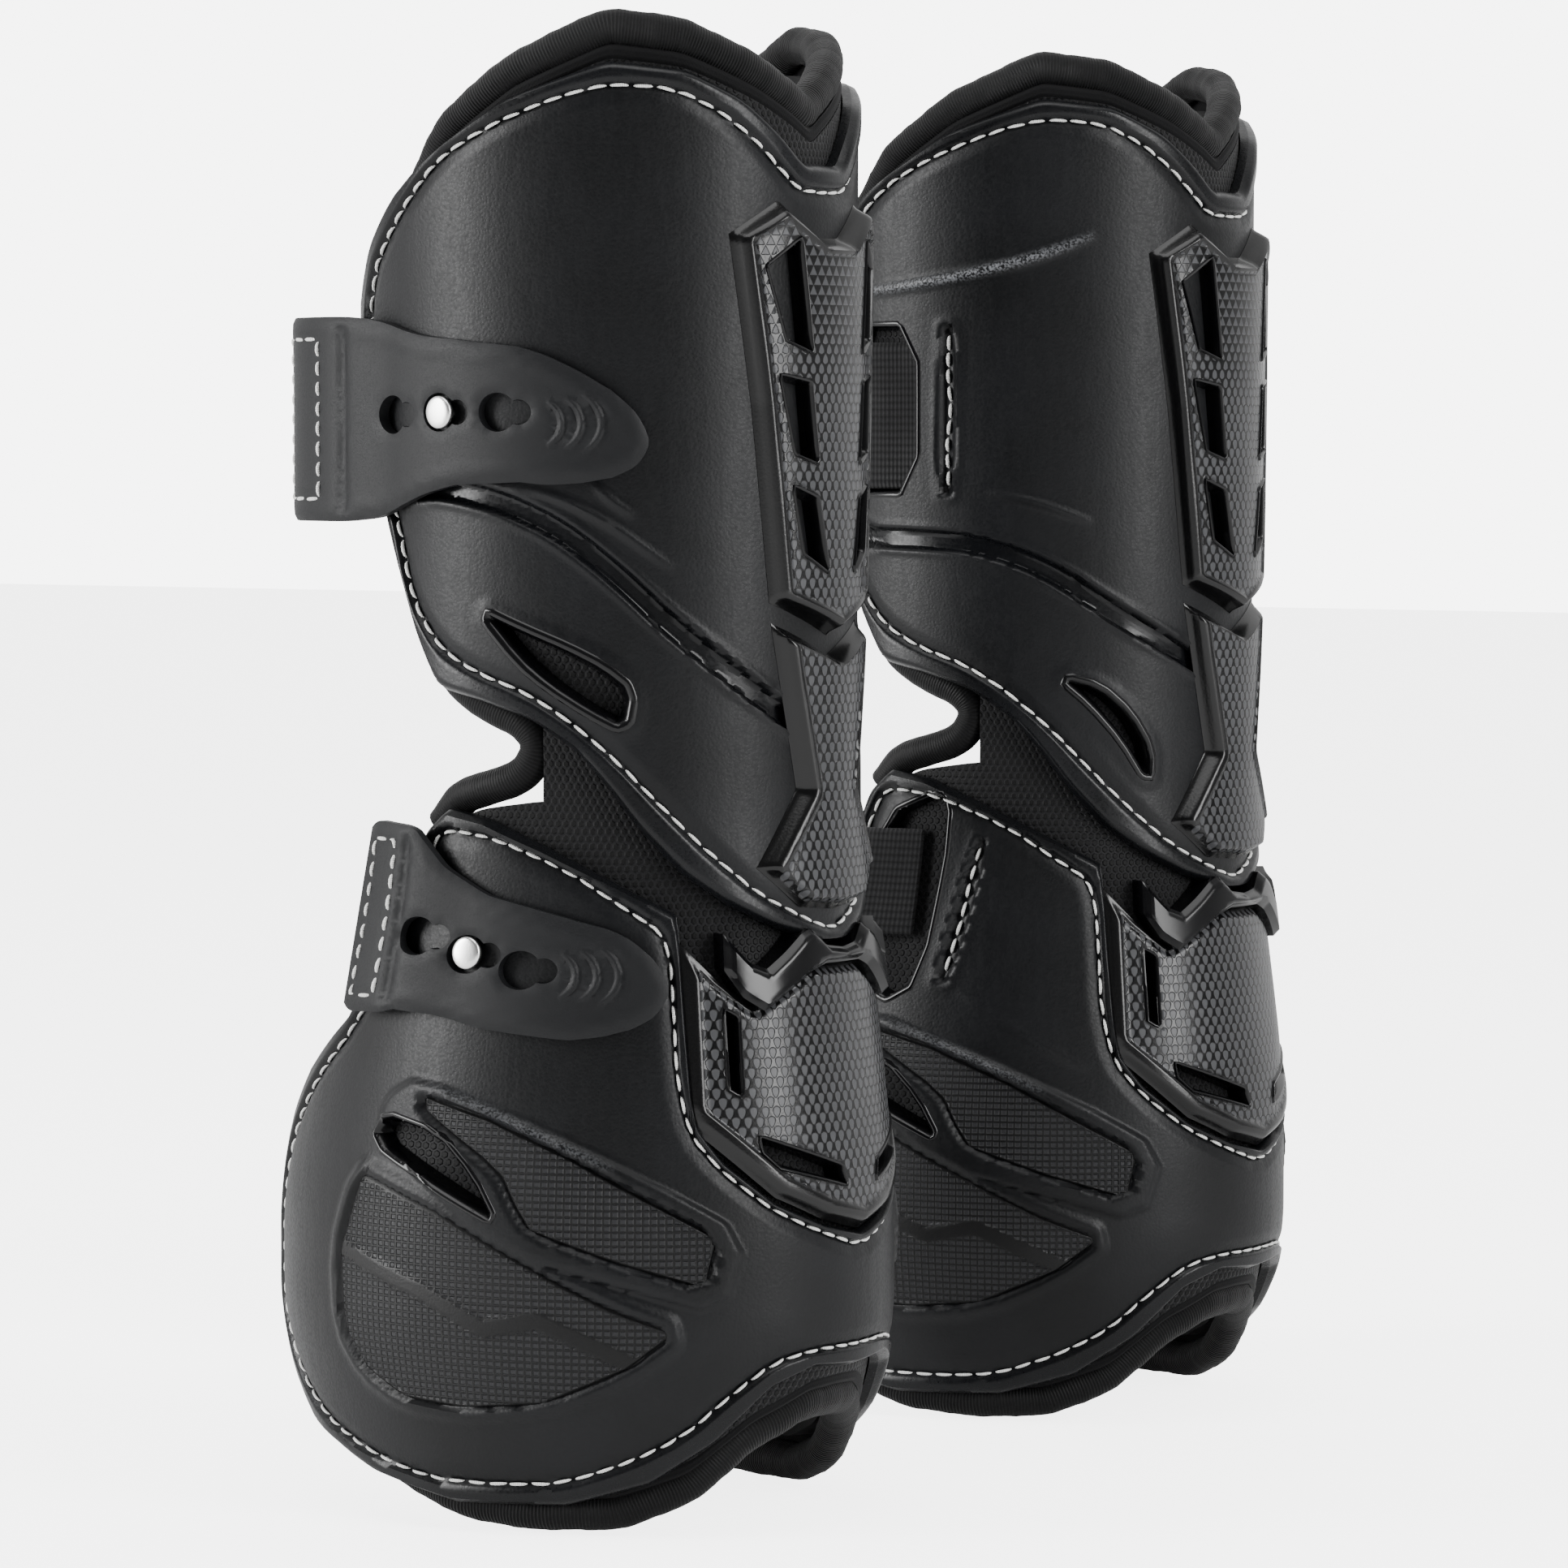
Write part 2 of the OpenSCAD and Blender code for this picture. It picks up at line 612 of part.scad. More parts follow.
left("upper_shell");  // left_upper_shell
left("lower_shell");  // left_lower_shell
left("upper_guard");  // left_upper_guard
left("mid_guard");  // left_mid_guard
left("lower_guard");  // left_lower_guard
left("hinge_bridge");  // left_hinge_bridge
left("upper_mesh");  // left_upper_mesh
left("lower_mesh");  // left_lower_mesh
left("upper_liner");  // left_upper_liner
left("lower_liner");  // left_lower_liner
left("top_roll");  // left_top_roll
left("bottom_roll");  // left_bottom_roll
left("notch_binding");  // left_notch_binding
left("upper_tab");  // left_upper_tab
left("upper_tab_end");  // left_upper_tab_end
left("lower_tab");  // left_lower_tab
left("lower_tab_end");  // left_lower_tab_end
left("upper_elastic");  // left_upper_elastic
left("lower_elastic");  // left_lower_elastic
left("upper_stud");  // left_upper_stud
left("lower_stud");  // left_lower_stud
left("upper_washer");  // left_upper_washer
left("lower_washer");  // left_lower_washer
left("grip_pads");  // left_grip_pads
right("upper_shell");  // right_upper_shell
right("lower_shell");  // right_lower_shell
right("upper_guard");  // right_upper_guard
right("mid_guard");  // right_mid_guard
right("lower_guard");  // right_lower_guard
right("hinge_bridge");  // right_hinge_bridge
right("upper_mesh");  // right_upper_mesh
right("lower_mesh");  // right_lower_mesh
right("upper_liner");  // right_upper_liner
right("lower_liner");  // right_lower_liner
right("top_roll");  // right_top_roll
right("bottom_roll");  // right_bottom_roll
right("notch_binding");  // right_notch_binding
right("upper_tab");  // right_upper_tab
right("upper_tab_end");  // right_upper_tab_end
right("lower_tab");  // right_lower_tab
right("lower_tab_end");  // right_lower_tab_end
right("upper_elastic");  // right_upper_elastic
right("lower_elastic");  // right_lower_elastic
right("upper_stud");  // right_upper_stud
right("lower_stud");  // right_lower_stud
right("upper_washer");  // right_upper_washer
right("lower_washer");  // right_lower_washer
right("grip_pads");  // right_grip_pads
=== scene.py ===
# %% [markdown]
# # A pair of open-fronted horse leg boots
# Each boot is a tendon shell and a fetlock shell over soft lining, with strike guards up the
# spine, padded rolls at both ends, elastics across the open front, and rubber tabs on studs.
# The frame gives every place and every moving body. This lesson makes the looks round it.

# %% Load the frame
import math
import bpy
import numpy as np
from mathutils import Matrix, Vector
from mathutils.geometry import delaunay_2d_cdt


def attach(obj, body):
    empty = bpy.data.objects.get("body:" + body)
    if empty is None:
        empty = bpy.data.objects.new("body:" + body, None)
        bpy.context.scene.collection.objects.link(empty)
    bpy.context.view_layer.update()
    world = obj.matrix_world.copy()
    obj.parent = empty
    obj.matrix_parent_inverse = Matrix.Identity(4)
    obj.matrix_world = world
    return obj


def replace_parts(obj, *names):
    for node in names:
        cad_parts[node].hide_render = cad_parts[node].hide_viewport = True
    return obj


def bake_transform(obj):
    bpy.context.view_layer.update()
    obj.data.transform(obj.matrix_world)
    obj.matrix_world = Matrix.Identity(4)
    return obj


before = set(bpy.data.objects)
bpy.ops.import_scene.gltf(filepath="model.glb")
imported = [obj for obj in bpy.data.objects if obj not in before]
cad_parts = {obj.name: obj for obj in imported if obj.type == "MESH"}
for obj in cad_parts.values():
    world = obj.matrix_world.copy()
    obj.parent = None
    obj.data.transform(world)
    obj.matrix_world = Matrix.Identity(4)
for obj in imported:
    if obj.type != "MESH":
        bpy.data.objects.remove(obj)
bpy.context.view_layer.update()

# %% [markdown]
# ## The leg section
# Both shells follow one oval that swells from the tendon to the fetlock. A point on a boot is an
# angle from the spine, a height, and a distance out from the shell's skin, all in millimetres
# and degrees. Working on this unrolled sheet keeps every layer parallel to the next one.

# %% The section as formulas
half_spacing = 93.0

def ease(x):
    c = np.clip(x, 0, 1)
    return c * c * (3 - 2 * c)

def bulge(z):
    return ease((165 - z) / 105)

def half_depth(z):
    return 58 + 16 * bulge(z) - 8 * ease((50 - z) / 50) + ease((z - 250) / 90)

def half_width(z):
    return 51 + 8 * bulge(z) - 6 * ease((50 - z) / 50) + ease((z - 250) / 90)

def skin(t, z, out):
    a = np.radians(t)
    x = -0.8 - 6.5 * bulge(z) - ease((z - 250) / 90) + (half_depth(z) + out) * np.cos(a)
    y = -(half_width(z) + out) * np.sin(a) - half_spacing
    return np.stack([x, y, z + 0 * x], -1)

def line(points):
    xs, ys = zip(*points)
    return lambda t: np.interp(np.abs(t), xs, ys)

def soft_line(points, soft=2):
    at = line(points)
    return lambda t: (at(np.abs(np.abs(t) - soft)) + 2 * at(t) + at(np.abs(t) + soft)) / 4

print("spine at 200 mm:", skin(0.0, 200.0, 0.0).round(1))

# %% [markdown]
# ## Distances on the sheet
# Every groove, bevel and seam is a function of how far a point is from a drawn line. So one
# helper gives the distance to a line in millimetres, and one gives it signed for a closed shape.

# %% Distance to a line and to a closed shape
def flat(points, radius):
    p = np.array(points, float)
    return np.stack([np.radians(p[:, 0]) * radius, p[:, 1]], -1)

def line_distance(s, z, path, along=False):
    best = np.full(s.shape, 1e9)
    place = np.zeros(s.shape)
    run = 0.0
    for (x0, y0), (x1, y1) in zip(path[:-1], path[1:]):
        dx, dy = x1 - x0, y1 - y0
        length = math.hypot(dx, dy) or 1e-9
        k = np.clip(((s - x0) * dx + (z - y0) * dy) / length ** 2, 0, 1)
        d = np.hypot(s - x0 - k * dx, z - y0 - k * dy)
        near = d < best
        best = np.where(near, d, best)
        place = np.where(near, run + k * length, place)
        run += length
    return (best, place / run) if along else best

def shape_distance(s, z, path):
    loop = np.vstack([path, path[:1]])
    inside = np.zeros(s.shape, bool)
    for (x0, y0), (x1, y1) in zip(loop[:-1], loop[1:]):
        if y0 != y1:
            crossing = ((y0 > z) != (y1 > z)) & (s < (x1 - x0) * (z - y0) / (y1 - y0) + x0)
            inside ^= crossing
    d = line_distance(s, z, loop)
    return np.where(inside, d, -d)

def rounded(points, turns=2, closed=True):
    p = np.array(points, float)
    for _ in range(turns):
        q = np.roll(p, -1, 0) if closed else p[1:]
        b = p if closed else p[:-1]
        cut = np.stack([b * 0.78 + q * 0.22, b * 0.22 + q * 0.78], 1).reshape(-1, 2)
        p = cut if closed else np.vstack([p[:1], cut, p[-1:]])
    return p

print("a point 3 mm inside a square:", shape_distance(np.array([3.0]), np.array([5.0]),
      np.array([[0, 0], [10, 0], [10, 10], [0, 10]])))

# %% [markdown]
# ## From the sheet to a mesh
# A slab is a grid of points with an outer and an inner face and a rim between them. It could be
# made with a Solidify modifier, but here the thickness changes from point to point, so both
# faces are written straight from the numbers. The right boot is the left one mirrored.

# %% Slab, and pieces for both boots
def slab(t, z, low, high, inner=True):
    n, m = t.shape
    low, high = low + 0 * t, high + 0 * t
    outer = skin(t, z, high).reshape(-1, 3)
    back = skin(t, z, low).reshape(-1, 3)
    index = np.arange(n * m).reshape(n, m)
    a, b, c, d = index[:-1, :-1], index[1:, :-1], index[1:, 1:], index[:-1, 1:]
    front = np.stack([b, c, d, a], -1).reshape(-1, 4)
    ring = np.concatenate([index[:, 0], index[-1, 1:], index[-2::-1, -1], index[0, -2:0:-1]])
    after = np.roll(ring, -1)
    faces = [front, np.stack([ring, ring + n * m, after + n * m, after], -1)[:, ::-1]]
    if inner:
        faces.append(front[:, ::-1] + n * m)
    kinds = np.concatenate([np.full(len(f), i) for i, f in enumerate(faces)])
    return np.vstack([outer, back]), np.vstack(faces), kinds

def sheet_uv(t, z, radius):
    uv = np.stack([np.radians(t) * radius, z], -1).reshape(-1, 2) / 100
    return np.vstack([uv, uv])

def build(name, side, verts, faces, materials, uv=None, index=None, masks=None, sharp=None):
    co = np.array(verts, float) / 1000
    faces = [tuple(f) for f in np.asarray(faces).tolist()] if not isinstance(faces, list) else faces
    if side == "right":
        co[:, 1] *= -1
        faces = [f[::-1] for f in faces]
    mesh = bpy.data.meshes.new(f"{side}_{name}")
    mesh.from_pydata(co.tolist(), [], faces)
    for m in materials:
        mesh.materials.append(m)
    if index is not None:
        mesh.polygons.foreach_set("material_index", np.asarray(index, np.int32))
    mesh.polygons.foreach_set("use_smooth", np.ones(len(mesh.polygons), bool))
    if uv is not None:
        corner = np.empty(len(mesh.loops), np.int32)
        mesh.loops.foreach_get("vertex_index", corner)
        layer = mesh.uv_layers.new(name="sheet")
        layer.data.foreach_set("uv", np.asarray(uv, np.float32)[corner].ravel())
    for key, values in (masks or {}).items():
        values = np.asarray(values, np.float32).ravel()
        if len(values) < len(co):
            values = np.concatenate([values, values])
        mesh.attributes.new(key, "FLOAT", "POINT").data.foreach_set("value", values)
    mesh.update()
    if sharp:
        mesh.set_sharp_from_angle(angle=math.radians(sharp))
    piece = bpy.data.objects.new(mesh.name, mesh)
    bpy.context.collection.objects.link(piece)
    return piece

def both(name, body, nodes, make):
    made = []
    for side in ("left", "right"):
        piece = make(side)
        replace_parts(piece, *[f"{side}_{n}" for n in nodes]) if nodes else None
        if body:
            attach(piece, f"{side}_{body}")
        made.append(piece)
    print(name, "points:", len(made[0].data.vertices))
    return made

# %% [markdown]
# ## Finishes
# The boots are almost all black, so what tells the parts apart is how each surface scatters
# light: satin grained shell, glossy bevels, open mesh, ribbed neoprene, dull rubber. Patterns
# shared by several finishes are node groups that give a height and a mask.

# %% Helpers for nodes
def add(tree, kind, **settings):
    made = tree.nodes.new(kind)
    for key, value in settings.items():
        setattr(made, key, value)
    return made

def feed(tree, socket, value):
    if isinstance(value, bpy.types.NodeSocket):
        tree.links.new(value, socket)
    else:
        socket.default_value = value

def calc(tree, operation, a, b=0.0, c=0.0):
    made = add(tree, "ShaderNodeMath", operation=operation)
    for socket, value in zip(made.inputs, (a, b, c)):
        feed(tree, socket, value)
    return made.outputs[0]

def vector(tree, operation, a, b=(0, 0, 0), c=(0, 0, 0)):
    made = add(tree, "ShaderNodeVectorMath", operation=operation)
    for socket, value in zip(made.inputs[:3], (a, b, c)):
        feed(tree, socket, value)
    return made.outputs["Value"] if operation in ("LENGTH", "DOT_PRODUCT") else made.outputs[0]

def blend_colour(tree, factor, a, b):
    made = add(tree, "ShaderNodeMix", data_type="RGBA")
    feed(tree, made.inputs["Factor"], factor)
    feed(tree, made.inputs[6], a)
    feed(tree, made.inputs[7], b)
    return made.outputs[2]

def spread(tree, value, low, high, to_low=0.0, to_high=1.0):
    made = add(tree, "ShaderNodeMapRange", interpolation_type="SMOOTHSTEP")
    for socket, v in zip(made.inputs[:5], (value, low, high, to_low, to_high)):
        feed(tree, socket, v)
    return made.outputs[0]

def group(name, inputs, outputs, fill):
    tree = bpy.data.node_groups.new(name, "ShaderNodeTree")
    for label, value in inputs:
        tree.interface.new_socket(label, in_out="INPUT",
            socket_type="NodeSocketFloat").default_value = value
    for label in outputs:
        tree.interface.new_socket(label, in_out="OUTPUT", socket_type="NodeSocketFloat")
    start, end = add(tree, "NodeGroupInput"), add(tree, "NodeGroupOutput")
    for label, value in fill(tree, start.outputs).items():
        feed(tree, end.inputs[label], value)
    return tree

def use(tree, made, **values):
    place = add(tree, "ShaderNodeGroup", node_tree=made)
    for key, value in values.items():
        feed(tree, place.inputs[key.replace("_", " ")], value)
    return place.outputs

# %% [markdown]
# ### Leather grain
# The moulded shells carry the print of fine leather: tiny cells, softer wrinkles that run up and
# down, and slight patches. Cells come from a Voronoi texture, wrinkles from stretched noise.

# %% Grain group
def fill_grain(tree, given):
    where = add(tree, "ShaderNodeTexCoord").outputs["Object"]
    cells = add(tree, "ShaderNodeTexVoronoi", feature="SMOOTH_F1")
    feed(tree, cells.inputs["Vector"], where)
    feed(tree, cells.inputs["Scale"], given["Scale"])
    tall = vector(tree, "MULTIPLY", where, (420.0, 420.0, 70.0))
    wrinkle = add(tree, "ShaderNodeTexNoise")
    feed(tree, wrinkle.inputs["Vector"], tall)
    wrinkle.inputs["Scale"].default_value = 1.0
    wrinkle.inputs["Detail"].default_value = 3.0
    patch = add(tree, "ShaderNodeTexNoise")
    feed(tree, patch.inputs["Vector"], where)
    patch.inputs["Scale"].default_value = 38.0
    height = calc(tree, "ADD", calc(tree, "MULTIPLY", cells.outputs["Distance"], 0.9),
                  calc(tree, "MULTIPLY", wrinkle.outputs[0], given["Wrinkle"]))
    return {"Height": height, "Patch": patch.outputs[0]}

grain = group("leather_grain", [("Scale", 1500.0), ("Wrinkle", 0.8)], ["Height", "Patch"], fill_grain)

# %% [markdown]
# ### Lattice
# Mesh, scales and knit all repeat on offset rows. One group finds the nearest centre of such a
# lattice on the unrolled sheet and gives the place inside the cell, from which each finish
# draws its own hexagon, drop or triangle.

# %% Lattice group
def fill_lattice(tree, given):
    uv = add(tree, "ShaderNodeUVMap", uv_map="sheet").outputs[0]
    scale = add(tree, "ShaderNodeCombineXYZ")
    feed(tree, scale.inputs[0], calc(tree, "DIVIDE", 100.0, given["Width"]))
    feed(tree, scale.inputs[1], calc(tree, "DIVIDE", 100.0, given["Rise"]))
    p = vector(tree, "MULTIPLY", uv, scale.outputs[0])
    top, low = (0.5, 0.5, 0.5), (-0.5, -0.5, -0.5)
    a = vector(tree, "WRAP", p, top, low)
    b = vector(tree, "WRAP", vector(tree, "ADD", p, (0.5, 0.5, 0.0)), top, low)
    ratio = add(tree, "ShaderNodeCombineXYZ")
    feed(tree, ratio.inputs[0], 1.0)
    feed(tree, ratio.inputs[1], calc(tree, "DIVIDE", given["Rise"], given["Width"]))
    a, b = vector(tree, "MULTIPLY", a, ratio.outputs[0]), vector(tree, "MULTIPLY", b, ratio.outputs[0])
    nearer = calc(tree, "LESS_THAN", vector(tree, "LENGTH", b), vector(tree, "LENGTH", a))
    pick = add(tree, "ShaderNodeMix", data_type="VECTOR")
    feed(tree, pick.inputs["Factor"], nearer)
    feed(tree, pick.inputs[4], a)
    feed(tree, pick.inputs[5], b)
    parts = add(tree, "ShaderNodeSeparateXYZ")
    feed(tree, parts.inputs[0], pick.outputs[1])
    x, y = parts.outputs[0], parts.outputs[1]
    ax, ay = calc(tree, "ABSOLUTE", x), calc(tree, "ABSOLUTE", y)
    hexagon = calc(tree, "MAXIMUM", ax, calc(tree, "MULTIPLY_ADD", ay, 0.866,
        calc(tree, "MULTIPLY", ax, 0.5)))
    return {"X": x, "Y": y, "Hexagon": hexagon}

lattice = group("sheet_lattice", [("Width", 2.0), ("Rise", 3.46)], ["X", "Y", "Hexagon"], fill_lattice)
print("pattern groups:", [g.name for g in (grain, lattice)])

# %% [markdown]
# ### One shader, many finishes
# Each finish is a Principled shader in its own material. Fixed values are set on its sockets;
# colour, roughness and bump come from the pattern nodes.

# %% Material helper
def finish(name, colour, roughness, height=None, strength=0.3, distance=0.0002, **fixed):
    made = bpy.data.materials.new(name)
    made.use_nodes = True
    tree = made.node_tree
    shader = tree.nodes["Principled BSDF"]
    shader.inputs["Base Color"].default_value = (*colour, 1)
    shader.inputs["Roughness"].default_value = roughness
    for key, value in fixed.items():
        shader.inputs[key.replace("_", " ")].default_value = value
    return made, tree, shader

def bump(tree, shader, height, strength, distance):
    made = add(tree, "ShaderNodeBump")
    feed(tree, made.inputs["Height"], height)
    made.inputs["Strength"].default_value = strength
    made.inputs["Distance"].default_value = distance
    tree.links.new(made.outputs[0], shader.inputs["Normal"])

def mask(tree, key):
    return add(tree, "ShaderNodeAttribute", attribute_name=key).outputs["Fac"]

# %% Shell, bevel and rubber finishes
shell_black, tree, shader = finish("shell_black", (0.004, 0.004, 0.005), 0.42, Specular_IOR_Level=0.24)
g = use(tree, grain, Scale=1500.0, Wrinkle=0.7)
smooth = mask(tree, "smooth")
black = blend_colour(tree, spread(tree, g["Patch"], 0.3, 0.7), (0.0024, 0.0026, 0.0031, 1),
    (0.0046, 0.0049, 0.0058, 1))
# Painted highlight: a light grey line along the crests of the small ridges, broken up by speckle noise,
# stands in for the light they catch
speck = add(tree, "ShaderNodeTexNoise")
feed(tree, speck.inputs["Vector"], add(tree, "ShaderNodeTexCoord").outputs["Object"])
speck.inputs["Scale"].default_value = 1800.0
rubbed = calc(tree, "MULTIPLY", mask(tree, "rubbed"), spread(tree, speck.outputs[0], 0.38, 0.62))
feed(tree, shader.inputs["Base Color"], blend_colour(tree, rubbed, black, (0.16, 0.165, 0.175, 1)))
feed(tree, shader.inputs["Roughness"], calc(tree, "SUBTRACT",
    spread(tree, g["Height"], 0.3, 1.2, 0.36, 0.48), calc(tree, "MULTIPLY", smooth, 0.2)))
bump(tree, shader, calc(tree, "MULTIPLY", g["Height"],
    calc(tree, "SUBTRACT", 1.0, calc(tree, "MULTIPLY", smooth, 0.85))), 0.35, 0.00012)

gloss_black, tree, shader = finish("gloss_black", (0.0016, 0.0016, 0.002), 0.2, Specular_IOR_Level=0.35)
g = use(tree, grain, Scale=700.0, Wrinkle=0.2)
feed(tree, shader.inputs["Roughness"], spread(tree, g["Patch"], 0.3, 0.7, 0.16, 0.26))
bump(tree, shader, g["Height"], 0.1, 0.00005)

rubber, tree, shader = finish("tab_rubber", (0.006, 0.006, 0.007), 0.5, Specular_IOR_Level=0.26)
g = use(tree, grain, Scale=2600.0, Wrinkle=0.1)
feed(tree, shader.inputs["Base Color"], blend_colour(tree, g["Patch"], (0.0042, 0.0045, 0.0052, 1),
    (0.0066, 0.007, 0.008, 1)))
feed(tree, shader.inputs["Roughness"], spread(tree, g["Height"], 0.1, 0.9, 0.48, 0.6))
bump(tree, shader, g["Height"], 0.2, 0.00006)

# %% [markdown]
# ### Scales on the guards
# The guards carry rows of raised scales on black: small triangles at the top of the leg that turn
# into drops further down. Both are drawn in the same lattice cell, and the height picks one. The
# scale pattern is real; its grey colour is a painted sheen for the light on the glossy facets.

# %% Scales finish
scale_skin, tree, shader = finish("guard_scales", (0.02, 0.02, 0.022), 0.4, Specular_IOR_Level=0.4)
cell = use(tree, lattice, Width=2.6, Rise=4.3)
x, y = cell["X"], cell["Y"]
field = mask(tree, "field")
drop = calc(tree, "SUBTRACT", 0.40, calc(tree, "SQRT",
    calc(tree, "ADD", calc(tree, "POWER", calc(tree, "MULTIPLY", x,
    calc(tree, "SUBTRACT", 1.18, calc(tree, "MULTIPLY", y, 0.9))), 2.0),
    calc(tree, "POWER", calc(tree, "MULTIPLY", y, 0.78), 2.0))))
triangle = calc(tree, "MINIMUM", calc(tree, "SUBTRACT", 0.30,
    calc(tree, "MULTIPLY_ADD", y, 0.55, calc(tree, "ABSOLUTE", x))), calc(tree, "ADD", y, 0.36))
kind = mask(tree, "upper")
scale_edge = calc(tree, "ADD", calc(tree, "MULTIPLY", triangle, kind),
       calc(tree, "MULTIPLY", drop, calc(tree, "SUBTRACT", 1.0, kind)))
raised = calc(tree, "MULTIPLY", spread(tree, scale_edge, 0.0, 0.10), field)
g = use(tree, grain, Scale=1800.0, Wrinkle=0.3)
# Painted sheen: the raised scales are coloured grey for the light their glossy facets catch
painted_scale_sheen = blend_colour(tree, g["Patch"], (0.030, 0.0308, 0.0335, 1), (0.058, 0.0595, 0.0635, 1))
feed(tree, shader.inputs["Base Color"], blend_colour(tree, raised, (0.0012, 0.0012, 0.0014, 1), painted_scale_sheen))
feed(tree, shader.inputs["Roughness"], calc(tree, "MULTIPLY_ADD", raised, 0.14, 0.22))
bump(tree, shader, calc(tree, "MULTIPLY_ADD", g["Height"], 0.06, raised), 0.6, 0.0004)

# %% [markdown]
# ### Mesh, neoprene and webbing
# The spacer mesh shows small open hexagons. The neoprene rolls are gathered across their length
# in fine ribs. The webbing has ribs along it with a plain weave between them.

# %% Textile finishes
hex_mesh, tree, shader = finish("hexagon_mesh", (0.01, 0.01, 0.011), 0.7, Specular_IOR_Level=0.2,
    Sheen_Weight=0.05)
cell = use(tree, lattice, Width=1.9, Rise=3.29)
thread = spread(tree, cell["Hexagon"], 0.26, 0.42)
g = use(tree, grain, Scale=2400.0, Wrinkle=0.2)
feed(tree, shader.inputs["Base Color"], blend_colour(tree, thread, (0.0004, 0.0004, 0.0005, 1),
    (0.0052, 0.0052, 0.006, 1)))
feed(tree, shader.inputs["Roughness"], spread(tree, g["Patch"], 0.3, 0.7, 0.5, 0.75))
bump(tree, shader, calc(tree, "MULTIPLY_ADD", g["Height"], 0.08, thread), 0.8, 0.0005)

ribbed, tree, shader = finish("gathered_neoprene", (0.011, 0.011, 0.012), 0.6, Specular_IOR_Level=0.15,
    Sheen_Weight=0.06)
uv = add(tree, "ShaderNodeSeparateXYZ")
feed(tree, uv.inputs[0], add(tree, "ShaderNodeUVMap", uv_map="sheet").outputs[0])
g = use(tree, grain, Scale=1300.0, Wrinkle=0.5)
wander = calc(tree, "MULTIPLY", g["Patch"], 9.0)
rib = calc(tree, "SINE", calc(tree, "ADD", calc(tree, "MULTIPLY", uv.outputs[0], 900.0), wander))
tone = spread(tree, rib, -1.0, 1.0)
feed(tree, shader.inputs["Base Color"], blend_colour(tree, tone, (0.0006, 0.0006, 0.0007, 1),
    (0.0036, 0.0036, 0.004, 1)))
feed(tree, shader.inputs["Roughness"], spread(tree, g["Patch"], 0.3, 0.7, 0.5, 0.68))
bump(tree, shader, calc(tree, "MULTIPLY_ADD", g["Height"], 0.5,
    calc(tree, "MULTIPLY", rib, mask(tree, "ribs"))), 0.55, 0.00025)

neoprene, tree, shader = finish("plain_neoprene", (0.010, 0.010, 0.011), 0.75, Specular_IOR_Level=0.12,
    Sheen_Weight=0.05)
cell = use(tree, lattice, Width=0.8, Rise=1.1)
g = use(tree, grain, Scale=900.0, Wrinkle=0.4)
feed(tree, shader.inputs["Base Color"], blend_colour(tree, g["Patch"], (0.002, 0.002, 0.0023, 1),
    (0.0042, 0.0042, 0.0046, 1)))
feed(tree, shader.inputs["Roughness"], spread(tree, g["Patch"], 0.3, 0.7, 0.7, 0.85))
bump(tree, shader, calc(tree, "MULTIPLY_ADD", cell["Hexagon"], -1.0,
    calc(tree, "MULTIPLY", g["Height"], 0.3)), 0.5, 0.00015)

webbing, tree, shader = finish("elastic_webbing", (0.012, 0.012, 0.013), 0.65, Specular_IOR_Level=0.18,
    Sheen_Weight=0.08)
uv = add(tree, "ShaderNodeSeparateXYZ")
feed(tree, uv.inputs[0], add(tree, "ShaderNodeUVMap", uv_map="sheet").outputs[0])
cord = calc(tree, "ABSOLUTE", calc(tree, "SINE", calc(tree, "MULTIPLY", uv.outputs[1], 180.0)))
pick = calc(tree, "SINE", calc(tree, "MULTIPLY", uv.outputs[0], 560.0))
weave = calc(tree, "MULTIPLY_ADD", pick, 0.25, cord)
g = use(tree, grain, Scale=1500.0, Wrinkle=0.2)
feed(tree, shader.inputs["Base Color"], blend_colour(tree, spread(tree, weave, 0.0, 1.1),
    (0.0008, 0.0008, 0.0009, 1), (0.0058, 0.0058, 0.0066, 1)))
feed(tree, shader.inputs["Roughness"], spread(tree, g["Patch"], 0.3, 0.7, 0.55, 0.75))
bump(tree, shader, weave, 0.6, 0.0004)
print("textile finishes made")

# %% [markdown]
# ### Grip, thread and metal
# The grip pads are cut into small square teeth. The thread is off-white and twisted. The stud
# heads are polished by the tabs that rub over them.

# %% Grip, thread and metal finishes
grip, tree, shader = finish("grip_teeth", (0.02, 0.02, 0.022), 0.5, Specular_IOR_Level=0.3)
uv = add(tree, "ShaderNodeUVMap", uv_map="sheet").outputs[0]
step = vector(tree, "WRAP", vector(tree, "MULTIPLY", uv, (100 / 1.55, 100 / 1.55, 1)), (0.5, 0.5, 0.5),
    (-0.5, -0.5, -0.5))
parts = add(tree, "ShaderNodeSeparateXYZ")
feed(tree, parts.inputs[0], step)
side = calc(tree, "MAXIMUM", calc(tree, "ABSOLUTE", parts.outputs[0]),
    calc(tree, "ABSOLUTE", parts.outputs[1]))
tooth = calc(tree, "MULTIPLY", spread(tree, side, 0.42, 0.24), mask(tree, "field"))
g = use(tree, grain, Scale=1900.0, Wrinkle=0.2)
feed(tree, shader.inputs["Base Color"], blend_colour(tree, tooth, (0.0006, 0.0006, 0.0008, 1),
    (0.014, 0.0143, 0.016, 1)))
feed(tree, shader.inputs["Roughness"], spread(tree, g["Patch"], 0.3, 0.7, 0.4, 0.55))
bump(tree, shader, calc(tree, "MULTIPLY_ADD", g["Height"], 0.1, tooth), 0.8, 0.0005)

